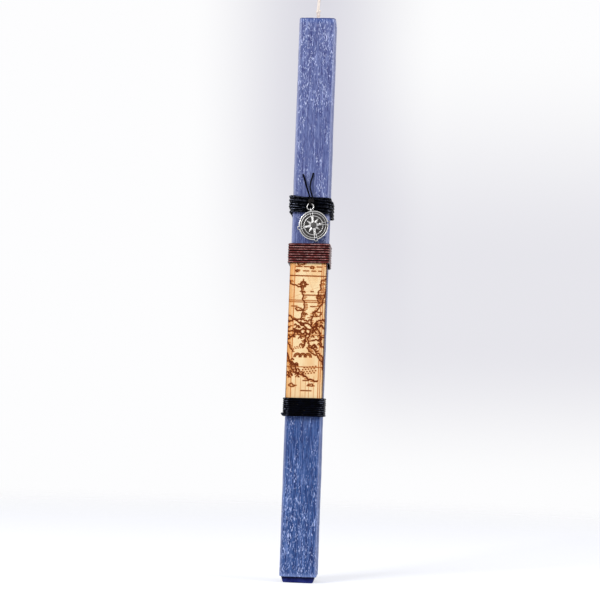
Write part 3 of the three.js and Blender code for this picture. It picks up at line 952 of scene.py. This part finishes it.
tie_radii = np.interp(above_knot, [2 * MM, 5 * MM], [TIE_RADIUS, TAIL_RADIUS])
tie = tube("knotted_tie", tie_centres, steady_outs(tie_centres, (1, 0, 0)), tie_radii, 12)
settle(tie, "candle", "charm_tie", 60)

# %% [markdown]
# ## Jump ring
# A jump ring is a round wire bent until its two cut ends nearly meet. Spinning a small disc almost all the
# way round gives the ring with its split.

# %% Bend the jump ring
RING_MIDDLE = Vector((-0.2 * MM, HANG_Y, 262.67 * MM))
RING_RADIUS = 2.25 * MM
RING_WIRE = 0.37 * MM
RING_SPLIT = 8
RING_SPLIT_AT = 150


def bent_ring():
    pick()
    start = math.radians(RING_SPLIT_AT + RING_SPLIT / 2)
    place = RING_MIDDLE + Vector((math.cos(start), 0, math.sin(start))) * RING_RADIUS
    turned = {"location": place, "rotation": (0, -start, 0)}
    bpy.ops.mesh.primitive_circle_add(vertices=20, radius=RING_WIRE, fill_type="NGON", **turned)
    ring = start_from("bent_ring")
    bpy.ops.mesh.select_all(action="SELECT")
    angle = math.radians(360 - RING_SPLIT)
    bpy.ops.mesh.spin(center=RING_MIDDLE, steps=88, angle=angle, axis=(0, -1, 0))
    face_outwards()
    close_edit()
    return ring


ring = bent_ring()
settle(ring, "ring", "jump_ring", 50)

# %% [markdown]
# ## Compass charm
# The charm is one small casting: a dished disc with a roped rim and an inner ring, a ridged eight-pointed
# star on a domed boss, a pair of ribs along each of its four spokes, a pierced lug at three of them and a
# bail at the top. It is modelled lying flat, its face up, from simple parts that run into each other. A voxel
# Remesh then melts them into one skin with the soft inner corners of a casting.

# %% Disc of the charm
DISC_RADIUS = 10.4 * MM
DISC_HALF = 0.65 * MM
FIRST_STEP = (0.12, 0.1)
RIM_STEPS = [(0.45, 0.02), (0.16, -0.4), (0.72, 0)]
INNER_RING_STEPS = [(0.14, 0.28), (0.3, 0), (0.14, -0.34), (1.4, 0), (0.12, 0.3), (0.42, 0), (0.14, -0.5)]
BACK_STEPS = [(0.1, 0.08), (0.9, 0), (0.3, -0.2)]
LUG_REACH = 10.15 * MM
LUG_HOLE = 0.8 * MM
LUG_SIDES = [Vector((1, 0, 0)), Vector((-1, 0, 0)), Vector((0, -1, 0))]


def inset_steps(steps):
    """In edit mode, insets the chosen face again and again, each time with a step up or down."""
    for inward, up in steps:
        bpy.ops.mesh.inset(thickness=inward * MM, depth=up * MM)


def disc():
    height = 2 * DISC_HALF - FIRST_STEP[0] * MM
    place = (0, 0, height / 2 - DISC_HALF)
    bpy.ops.mesh.primitive_cylinder_add(vertices=160, radius=DISC_RADIUS, depth=height, location=place)
    piece = start_from("disc")
    choose("faces", facing_up)
    inset_steps([FIRST_STEP, *RIM_STEPS, *INNER_RING_STEPS])
    choose("faces", facing_down)
    inset_steps(BACK_STEPS)
    close_edit()
    for toward in LUG_SIDES:
        drill(piece, toward * LUG_REACH, LUG_HOLE, 4 * MM, 32)
    return piece


# %% Rope, ribs and loops
ROPE_RADIUS = 9.3 * MM
ROPE_NOTCHES = 64
ROPE_HALF = 0.36 * MM
ROPE_TURN = 38
RIB_LENGTH = 5.2 * MM
RIB_SPLAY = 4
BAIL_REACH = 11 * MM


def repeat_round(piece, count):
    """The piece copied round the charm's middle."""
    settings = {"count": count, "use_relative_offset": False, "use_object_offset": True}
    modify_by_guide(piece, "ARRAY", "offset_object", turn=2 * math.pi / count, **settings)
    return piece


def rope():
    place = (ROPE_RADIUS, 0, 0.3 * MM)
    turned = (0, 0, math.radians(ROPE_TURN))
    bpy.ops.mesh.primitive_ico_sphere_add(subdivisions=2, radius=1, location=place, rotation=turned)
    strand = start_from("rope", (0.5 * MM, 0.32 * MM, 0.26 * MM))
    close_edit()
    return repeat_round(strand, ROPE_NOTCHES)


def spoke_rib(side):
    place = (side * 0.68 * MM, 4.3 * MM + RIB_LENGTH / 2, 0.34 * MM)
    turned = (0, 0, -side * math.radians(RIB_SPLAY))
    bpy.ops.mesh.primitive_cube_add(size=1, location=place, rotation=turned)
    rib = start_from("rib", (0.44 * MM, RIB_LENGTH, 0.66 * MM))
    choose("edges", lambda edge: middle(edge).z > 0.6 * MM)
    bpy.ops.mesh.bevel(offset=0.14 * MM, segments=2)
    close_edit()
    return repeat_round(rib, 4)


def loop(name, major, minor, place, turned=(0, 0, 0)):
    settings = {"major_radius": major, "minor_radius": minor, "major_segments": 40, "minor_segments": 16}
    bpy.ops.mesh.primitive_torus_add(location=place, rotation=turned, **settings)
    piece = start_from(name)
    close_edit()
    return piece


# %% Star and boss
FIELD = 0.11 * MM
STAR_FOOT = -0.3 * MM
STAR_REACH = 5.9 * MM
BOSS_RADIUS = 2.2 * MM
SPOKE_HALF = 1.3 * MM


def star(name, arms, reach, waist, turned, edge, rise):
    """A star whose arms slope up to ridges, in millimetres. edge is the height of its outline above the
    field and rise that of its middle above the outline."""
    settings = {"vertices": 2 * arms, "radius": reach * MM, "location": (0, 0, STAR_FOOT)}
    rotation = (0, 0, math.radians(turned))
    bpy.ops.mesh.primitive_circle_add(fill_type="NGON", rotation=rotation, **settings)
    piece = start_from(name)
    share = 2 * math.pi / arms
    first = math.radians(turned + 90)

    def is_waist(vert):
        turn = (math.atan2(vert.co.y, vert.co.x) - first) / share
        return abs(turn - round(turn)) > 0.25

    choose("verts", is_waist)
    narrow(waist / reach)
    bpy.ops.mesh.select_mode(type="FACE")
    bpy.ops.mesh.select_all(action="SELECT")
    extrude(0, 0, FIELD + edge * MM - STAR_FOOT)
    bpy.ops.mesh.poke(offset=rise * MM)
    face_outwards()
    close_edit()
    return piece


def boss():
    place = (0, 0, 0.5 * MM)
    bpy.ops.mesh.primitive_uv_sphere_add(segments=48, ring_count=24, radius=BOSS_RADIUS, location=place)
    piece = start_from("boss", (1, 1, 0.36))
    close_edit()
    furrow(piece, "hammered", 0.42 * MM, 1, 0.3 * MM)
    return piece


# %% [markdown]
# ### Where the casting is polished
# Polishing reaches what stands out. How far a point stands out from its neighbourhood is its height less
# the mean height of the points round it, which is found by spreading the heights along the edges of the
# mesh. The star takes most of the polish, its hammered boss and the rope stay duller.

# %% Measure the polish
NEIGHBOURHOOD = 30
FINE_RELIEF = 0.14 * MM
LOW_RELIEF = 0.25 * MM
HIGH_RELIEF = 0.8 * MM


def polish_of(piece):
    """Writes how far each point stands out from its neighbourhood and from the field, from 0 to 1."""
    mesh = piece.data
    count = len(mesh.vertices)
    places = np.empty(count * 3)
    mesh.vertices.foreach_get("co", places)
    places = places.reshape(-1, 3)
    ends = np.empty(len(mesh.edges) * 2, int)
    mesh.edges.foreach_get("vertices", ends)
    a, b = ends.reshape(-1, 2).T
    degree = np.bincount(a, minlength=count) + np.bincount(b, minlength=count)

    def spread(values, rounds):
        for _ in range(rounds):
            total = np.bincount(a, values[b], count) + np.bincount(b, values[a], count)
            values = (values + total) / (degree + 1)
        return values

    height = np.abs(places[:, 2])
    local = (height - spread(height, NEIGHBOURHOOD)) / FINE_RELIEF
    above = (height - LOW_RELIEF) / HIGH_RELIEF
    away = np.hypot(places[:, 0], places[:, 1])
    on_star = (away < STAR_REACH) | (np.abs(places[:, :2]).min(axis=1) < SPOKE_HALF)
    wear_and_sheen = np.where(on_star, 0.2 + 0.3 * local + 1.2 * above, 0.4 + 0.32 * local + 0.4 * above)
    polish = np.clip(spread(wear_and_sheen, 1), 0, 1)
    polish = np.where(away < BOSS_RADIUS, polish * 0.4, polish)
    polish = np.where(np.abs(away - ROPE_RADIUS) < ROPE_HALF, polish * 0.62, polish)
    mesh.attributes.new("polish", "FLOAT", "POINT").data.foreach_set("value", polish)


# %% Cast the charm
CAST_GRAIN = 0.11 * MM
CHARM_TILT = 12
CHARM_DROP = 13.55 * MM


def compass_charm():
    pick()
    parts = [
        disc(),
        rope(),
        star("rays", 8, 5.3, 2.5, 22.5, 0.02, 0.3),
        star("diagonals", 4, 6.1, 2.4, 45, 0.24, 0.6),
        star("cardinals", 4, 7.4, 2, 0, 0.34, 0.75),
        spoke_rib(1),
        spoke_rib(-1),
        boss(),
        loop("bail", 1.4 * MM, 0.42 * MM, (0, BAIL_REACH, 0), (0, math.pi / 2, 0)),
        *(loop("lug", 1.15 * MM, 0.44 * MM, toward * LUG_REACH) for toward in LUG_SIDES),
    ]
    charm = join("cast_charm", parts)
    modify(charm, "REMESH", mode="VOXEL", voxel_size=CAST_GRAIN)
    modify(charm, "SMOOTH", factor=0.5, iterations=2)
    polish_of(charm)
    hang = Matrix.Translation((0, 0, -CHARM_DROP))
    tilt = Matrix.Rotation(math.radians(-CHARM_TILT), 4, "Y")
    upright = Matrix.Rotation(math.radians(90), 4, "X")
    charm.data.transform(Matrix.Translation(RING_MIDDLE) @ tilt @ hang @ upright)
    return charm


charm = compass_charm()
settle(charm, "charm", "compass_charm", 180)

# %% [markdown]
# ## Wax finish
# The wax is a dusty blue, paler and greyer towards the top. Brushing it has left darker streaks, long faint
# dashes and, where dry wax caught, short white flecks, and all of them run upright. One noise drawn out
# along Z makes the streaks. Two more, cut off at a high level, leave only separate dashes and flecks.
# Corners are paler, partly rubbed by hands and partly a painted highlight on the edges, and so is the bloom
# just above the foot. On the right side a painted shade of the plate darkens and greys the wax beside it,
# less and less towards the back.

# %% Blue wax


def strokes(f, place, wide, tall, low, high):
    """Separate upright strokes, about so many metres wide and tall, where a noise passes low."""
    return f.step(f.noise(place, 1 / wide, 1 / wide, 1 / tall, roughness=0.45), low, high)


def blue_wax():
    f = new_finish("blue_wax")
    place = f.place()
    x, y, z = f.axes(place)
    upper = f.step(z, 0.09, 0.24)
    grain = f.noise(place, 1350, 1350, 300, detail=3.0, roughness=0.6)
    streaks = f.noise(place, 1100, 1100, 36, detail=3.0, roughness=0.65)
    broad = f.noise(place, 240, 240, 24)
    crowd = f.noise(place, 260, 260, 70)
    ends = f.step(z, 0.1, 0.03) + f.step(z, 0.31, 0.37)
    dry = f.step(crowd + ends * 0.2, 0.46, 0.68)
    side_wall = 1 - f.step(z, TOP - 0.9 * MM, TOP - 0.3 * MM) * 0.8
    dashes = strokes(f, place, 0.38 * MM, 13 * MM, 0.535, 0.635) * (dry * 0.25 + 0.6) * side_wall
    flecks = strokes(f, place, 0.4 * MM, 2.1 * MM, 0.59, 0.655) * (dry * 0.88 + 0.12) * side_wall
    # Paler corners: partly wear from hands, partly a painted highlight along the edges.
    near_side, near_face = (f.step(v.math("ABSOLUTE"), HALF - 2 * MM, HALF - 0.3 * MM) for v in (x, y))
    bloom = f.step(z + streaks * 4 * MM, FOOT_HEIGHT + 5.5 * MM, FOOT_HEIGHT + 2 * MM)
    dipped = f.step(z, TOP - 5 * MM, TOP - 2 * MM)
    rim = f.step(z, TOP - 1.1 * MM, TOP - 0.6 * MM)
    # Painted shade of the plate on the right side of the wax, fading towards the back.
    painted_plate_shade = f.step(y + (crowd - 0.5) * 8 * MM, 11 * MM, -9 * MM)
    painted_plate_shade = painted_plate_shade * f.step(x, HALF - 2.6 * MM, HALF - 2.2 * MM)
    painted_plate_shade = painted_plate_shade * f.step(z, plate_low.z, plate_low.z + MM)
    painted_plate_shade = painted_plate_shade * f.step(z, plate_high.z, plate_high.z - MM)
    deep = f.mix(upper, "#1c2e64", "#3d4379")
    plain = f.mix(upper, "#315089", "#596597")
    pale = f.mix(upper, "#7690cc", "#949fd0")
    colour = f.layer(
        deep,
        (f.step(grain * 0.5 + streaks * 0.5, 0.4, 0.58), plain),
        (f.step(broad, 0.5, 0.8) * 0.2, pale),
        (dipped * 0.5, "#3a5a9e"),
        (near_side * near_face * 0.75, f.mix(upper, "#a3aace", "#b3b9da")),
        (bloom * 0.7, "#8397cc"),
        (painted_plate_shade * 0.9, "#4f4346"),
        (dashes * 0.8, pale),
        (flecks * 0.95, f.mix(upper, "#c3d2ff", "#d3dcfc")),
        (rim * 0.6, "#2b3064"),
    )
    marks = dashes * 0.5 + flecks * 0.5
    return f.surface(
        Base_Color=colour,
        Roughness=0.44 + marks * 0.3,
        Normal=f.bump(grain * 0.4 + streaks * 0.4 + marks * 0.15, 0.12 * MM, 0.6),
        Subsurface_Weight=0.1,
        Subsurface_Radius=(0.7, 0.7, 0.7),
        Subsurface_Scale=1 * MM,
        Specular_IOR_Level=0.2,
    )


dress(bar, blue_wax())

# %% Dark wax of the foot


def dark_wax():
    f = new_finish("dark_wax")
    place = f.place()
    cloud = f.noise(place, 260, detail=3.0)
    # Painted shade under the bar's overhang, darkening the top of the foot.
    painted_overhang_shade = f.step(f.axes(place)[2], 0.8 * MM, FOOT_HEIGHT - 0.6 * MM)
    colour = f.layer("#182064", (f.step(cloud, 0.35, 0.7), "#2b3680"), (painted_overhang_shade * 0.85, "#03041f"))
    bumped = f.bump(f.noise(place, 700, 700, 500), 0.08 * MM, 0.4)
    rough = 0.36 + cloud * 0.2
    return f.surface(Base_Color=colour, Roughness=rough, Normal=bumped, Specular_IOR_Level=0.08)


dress(foot, dark_wax())

# %% [markdown]
# ## Cord finishes
# The black cord is waxed cotton: its fine plies wind round it, and its broken shine is painted into its
# colour as pale glints where a turn faces out, most at the corners and on the upper winding. The knot has a
# painted brownish sheen. The leather lace has cracks across it, painted shade in the grooves where two turns
# meet and painted highlights broken along its crest. Both read the tube's own UV map, whose U runs once round
# the cord and whose V counts millimetres along it.

# %% Waxed cotton and leather


def cord_place(f):
    """U round the cord, from 0 where it faces out, and V along it in millimetres."""
    return f.node("UVMap", {}, uv_map="cord")


def plies(f, count, length):
    """Ridges of a twisted cord, from 0 to 1. count runs of them side by side, each turning in length."""
    u, v, _ = f.axes(cord_place(f))
    wave = ((u * count + v * (1 / length)) * (2 * math.pi)).math("SINE")
    return wave * 0.5 + 0.5


def outward(f):
    """1 where a cord faces out, 0 at its sides and -1 where it lies on what it is wound on."""
    return (f.axes(cord_place(f))[0] * (2 * math.pi)).math("COSINE")


def waxed_cotton():
    f = new_finish("waxed_cotton")
    place = f.place()
    x, y, z = f.axes(place)
    ridge = plies(f, 3, 1.9)
    fine = f.noise(place, 5200)
    wear_and_sheen = f.noise(place, 420)
    crest = f.step(outward(f) + fine * 0.1, 0.9, 1.03)
    broken = f.step(f.noise(place, 560, 560, 2200), 0.46, 0.62)
    corner = f.step(x.math("ABSOLUTE"), HALF - 3.5 * MM, HALF - 0.5 * MM)
    left = f.step(x, -1 * MM, -9 * MM)
    high = f.step(z, 0.2, 0.25)
    # Painted glints on the outward crest of each turn, strongest at the corners, on the left and on the upper
    # winding.
    glint = crest * broken * (corner * (left * 0.2 + 0.4) + high * (left * 0.25 + 0.06))
    seen_side = f.step(y, -HALF + 8 * MM, -HALF + 1 * MM) * 0.75 + 0.25
    # Painted sheen on the knot, so that it shows against the black band.
    knot_sheen = f.step(y, HANG_Y + 1.8 * MM, HANG_Y + 1.2 * MM) * high
    knot_sheen = knot_sheen * f.step(z, KNOT.z + 2.4 * MM, KNOT.z + 1.4 * MM)
    colour = f.layer(
        "#000001",
        (f.step(wear_and_sheen, 0.4, 0.75), "#040610"),
        (f.step(ridge, 0.6, 1.0) * 0.4, "#0d0f18"),
        (glint * seen_side * 0.9, "#8d92a6"),
        (knot_sheen * (wear_and_sheen * 0.5 + 0.15), "#3b3735"),
    )
    bumped = f.bump(ridge * 0.6 + fine * 0.4, 0.08 * MM, 0.7)
    rough = 0.3 + wear_and_sheen * 0.3
    return f.surface(Base_Color=colour, Roughness=rough, Normal=bumped, Specular_IOR_Level=0.02)


def leather():
    f = new_finish("leather")
    place = f.place()
    facing = outward(f)
    cracks = f.noise(cord_place(f), 3.0, 1.6, 1, detail=3.0, roughness=0.6)
    pores = f.noise(place, 3600)
    patches = f.noise(place, 260)
    broken = f.step(f.noise(place, 300, 300, 900), 0.42, 0.6)
    # Painted highlights along the crest where the lace faces out, broken into patches.
    wear_and_sheen = f.step(facing + cracks * 0.2, 1.05, 1.13) * broken
    colour = f.layer(
        "#551b1a",
        (f.step(patches, 0.35, 0.7), "#732c29"),
        (f.step(cracks, 0.45, 0.3) * 0.6, "#250c0c"),
        (f.step(cracks, 0.55, 0.75) * 0.5, "#934a42"),
        # Painted shade in the grooves where two turns meet.
        (f.step(facing, 0.96, 0.74), "#020000"),
        (wear_and_sheen * 0.9, "#d6aaa4"),
    )
    bumped = f.bump(cracks + pores * 0.5, 0.09 * MM, 0.6)
    rough = 0.24 + pores * 0.2
    return f.surface(Base_Color=colour, Roughness=rough, Normal=bumped, Specular_IOR_Level=0.16)


black_cotton = waxed_cotton()
for piece in (lower_cord, upper_cord, tie):
    dress(piece, black_cotton)
dress(leather_cord, leather())

# %% [markdown]
# ## Wick finish
# Unbleached cotton, a little pink from the dye in the wax. Fine yarns wind round each strand.

# %% Wick cotton


def wick_cotton():
    f = new_finish("wick_cotton")
    yarns = plies(f, 4, 1.3)
    soaked = f.step(f.axes(f.place())[2], TOP + 10 * MM, TOP + 2 * MM)
    colour = f.layer("#efdfd2", (yarns, "#fdf4ea"), (soaked * 0.3, "#f2d3c8"))
    return f.surface(Base_Color=colour, Roughness=0.85, Normal=f.bump(yarns, 0.07 * MM, 0.8))


dress(wick_piece, wick_cotton())

# %% [markdown]
# ## Plywood finish
# Birch plywood is cream with fine upright grain. The burn attribute of the carved face colours each stroke,
# with a scorched halo round the darker ones. The laser also cut the plate out, so its edges are charred,
# with the plies just showing.

# %% Engraved plywood


def plywood():
    f = new_finish("plywood")
    place = f.place()
    x, y, z = f.axes(place)
    burn = f.node("Attribute", {}, output="Fac", attribute_name="burn")
    grain = f.noise(place, 1500, 1500, 60, detail=3.0, roughness=0.6)
    warm = f.noise(place, 110, 110, 45)
    ash = f.noise(place, 700)
    margins = f.step(x, -8 * MM, -12 * MM) * 0.75 + f.step(x, 9 * MM, 12.5 * MM) * 0.3
    smoky = (f.step(warm, 0.4, 0.8) * 0.45 + margins).math("MINIMUM", 1.0)
    ragged = x + (ash - 0.5) * 0.5 * MM
    right_edge = f.step(ragged, HALF - 0.95 * MM, HALF - 0.5 * MM)
    left_edge = f.step(ragged, -HALF + 0.8 * MM, -HALF + 0.3 * MM)
    low = f.step(z, 0.165, 0.13)
    charred = f.step(y, PLATE_FRONT + 0.16 * MM, PLATE_FRONT + 0.3 * MM)
    ply = ((y * (2 * math.pi / MM)).math("SINE") * 0.5 + 0.5) * 0.5
    colour = f.layer(
        "#f6dbaa",
        (smoky, "#e6a35c"),
        (f.step(grain, 0.55, 0.75) * 0.35, "#dba869"),
        (f.step(burn, 0.1, 0.5) * 0.85, "#cb6c0a"),
        (f.step(burn + (ash - 0.5) * 0.4, 0.5, 0.95), "#662600"),
        ((right_edge + left_edge * (low * 0.5 + 0.5)) * 0.85, "#4a2a24"),
        (charred, f.mix(ply, "#2a1a1c", "#4b322e")),
    )
    bumped = f.bump(grain + ash * 0.4, 0.05 * MM, 0.5)
    rough = 0.62 + burn * 0.25
    return f.surface(Base_Color=colour, Roughness=rough, Normal=bumped, Specular_IOR_Level=0.2)


dress(plate, plywood())

# %% [markdown]
# ## Metal finishes
# The charm is antiqued: dipped until it is nearly black, then polished, so that only what stands out is
# bright. The polish attribute of the casting says where that is, and a painted shade dims the shine a little
# on the lower right. The jump ring is plain bright wire.

# %% Antique silver and bright wire


def antique_silver():
    f = new_finish("antique_silver")
    place = f.place()
    x, _, z = f.axes(place)
    polish = f.node("Attribute", {}, output="Fac", attribute_name="polish")
    grain = f.noise(place, 2600, detail=3.0)
    # Painted shade on the lower right of the charm, which lowers its shine there.
    painted_lower_right_shade = f.step(x, 3 * MM, 9 * MM) * f.step(z, 0.256, 0.25)
    shine = f.step(polish - painted_lower_right_shade * 0.14 + (grain - 0.5) * 0.25, 0.32, 0.8)
    colour = f.mix(shine, "#3b3939", "#c3c2c1")
    bumped = f.bump(grain, 0.05 * MM, 0.6)
    return f.surface(Base_Color=colour, Metallic=1.0, Roughness=0.62 - shine * 0.34, Normal=bumped)


def bright_wire():
    f = new_finish("bright_wire")
    grain = f.noise(f.place(), 1800)
    colour = f.mix(f.step(grain, 0.35, 0.7), "#aaa9a8", "#dcdbd9")
    return f.surface(Base_Color=colour, Metallic=1.0, Roughness=0.2 + grain * 0.15)


dress(charm, antique_silver())
dress(ring, bright_wire())

# %% [markdown]
# ## Studio
# A pale floor fades out into the world, so that no horizon shows. To the camera, and in reflections, the
# world is the bright backdrop, while the light that it gives is weaker and set by itself. A large soft lamp
# at the front left gives most of the light, and a weaker one fills in from the right.

# %% Floor and backdrop
FLOOR_HALF = 1.6
FLOOR_GLOW = 0.52
WORLD_LIGHT = 0.4


def seen(f):
    """1 for what the camera, a reflection or a clear material sees, and 0 for light on the object."""
    kinds = ("Camera", "Glossy", "Transmission")
    camera_ray, glossy_ray, clear_ray = (f.node("LightPath", {}, output=f"Is {kind} Ray") for kind in kinds)
    return (camera_ray + glossy_ray + clear_ray).math("MINIMUM", 1.0)


def studio_floor():
    pick()
    bpy.ops.mesh.primitive_grid_add(x_subdivisions=8, y_subdivisions=8, size=2 * FLOOR_HALF)
    floor = start_from("studio_floor")
    close_edit()
    f = new_finish("studio_floor")
    away = f.node("VectorMath", {0: f.place()}, output="Value", operation="LENGTH")
    matte = f.node("BsdfDiffuse", {"Color": "#dcdde2"})
    glow = f.node("Emission", {"Color": "#ffffff", "Strength": seen(f) * FLOOR_GLOW})
    lit = f.node("AddShader", {0: matte, 1: glow})
    clear = f.node("BsdfTransparent", {})
    faded = f.node("MixShader", {0: f.step(away, 1.3, 0.4), 1: clear, 2: lit})
    f.node("OutputMaterial", {"Surface": faded})
    dress(floor, f.owner)


def studio_world():
    """White all round, with a soft grey shade on the wall, narrow above the candle and wide beside it."""
    world = bpy.data.worlds.new("studio_world")
    bpy.context.scene.world = world
    f = Finish(world)
    x, y, z = f.axes(f.node("TexCoord", {}, output="Generated"))
    above = f.step((x + 0.055).math("ABSOLUTE"), 0.085, 0.0) * f.step(z, -0.01, 0.2)
    beside = f.step(x, -0.06, 0.01) * f.step(z, -0.04, 0.06) * f.step(z, 0.26, 0.11)
    shade = (above + beside * 0.72).math("MINIMUM", 1.0) * f.step(y, 0.3, 0.8)
    backdrop = f.node("Background", {"Color": f.mix(shade, "#fdfdfe", "#dddce4"), "Strength": 1.0})
    light = f.node("Background", {"Color": "#f4f6ff", "Strength": WORLD_LIGHT})
    f.node("OutputWorld", {"Surface": f.node("MixShader", {0: seen(f), 1: light, 2: backdrop})})


studio_floor()
studio_world()

# %% Lamps
LAMPS = [
    ("key_lamp", Vector((-0.85, -1.15, 0.85)), 16.5, 0.6),
    ("fill_lamp", Vector((1.3, -0.35, 0.5)), 9, 0.8),
]


def hang_lamp(name, place, watts, size):
    lamp = add_object(name, bpy.data.lights.new(name, "AREA"))
    lamp.data.energy = watts
    lamp.data.size = size
    lamp.location = place
    aim = Vector((0, 0, TOP / 2)) - place
    lamp.rotation_euler = aim.to_track_quat("-Z", "Y").to_euler()
    print(f"{name}: {watts} W")


for lamp in LAMPS:
    hang_lamp(*lamp)
bpy.context.scene.view_settings.view_transform = "Standard"
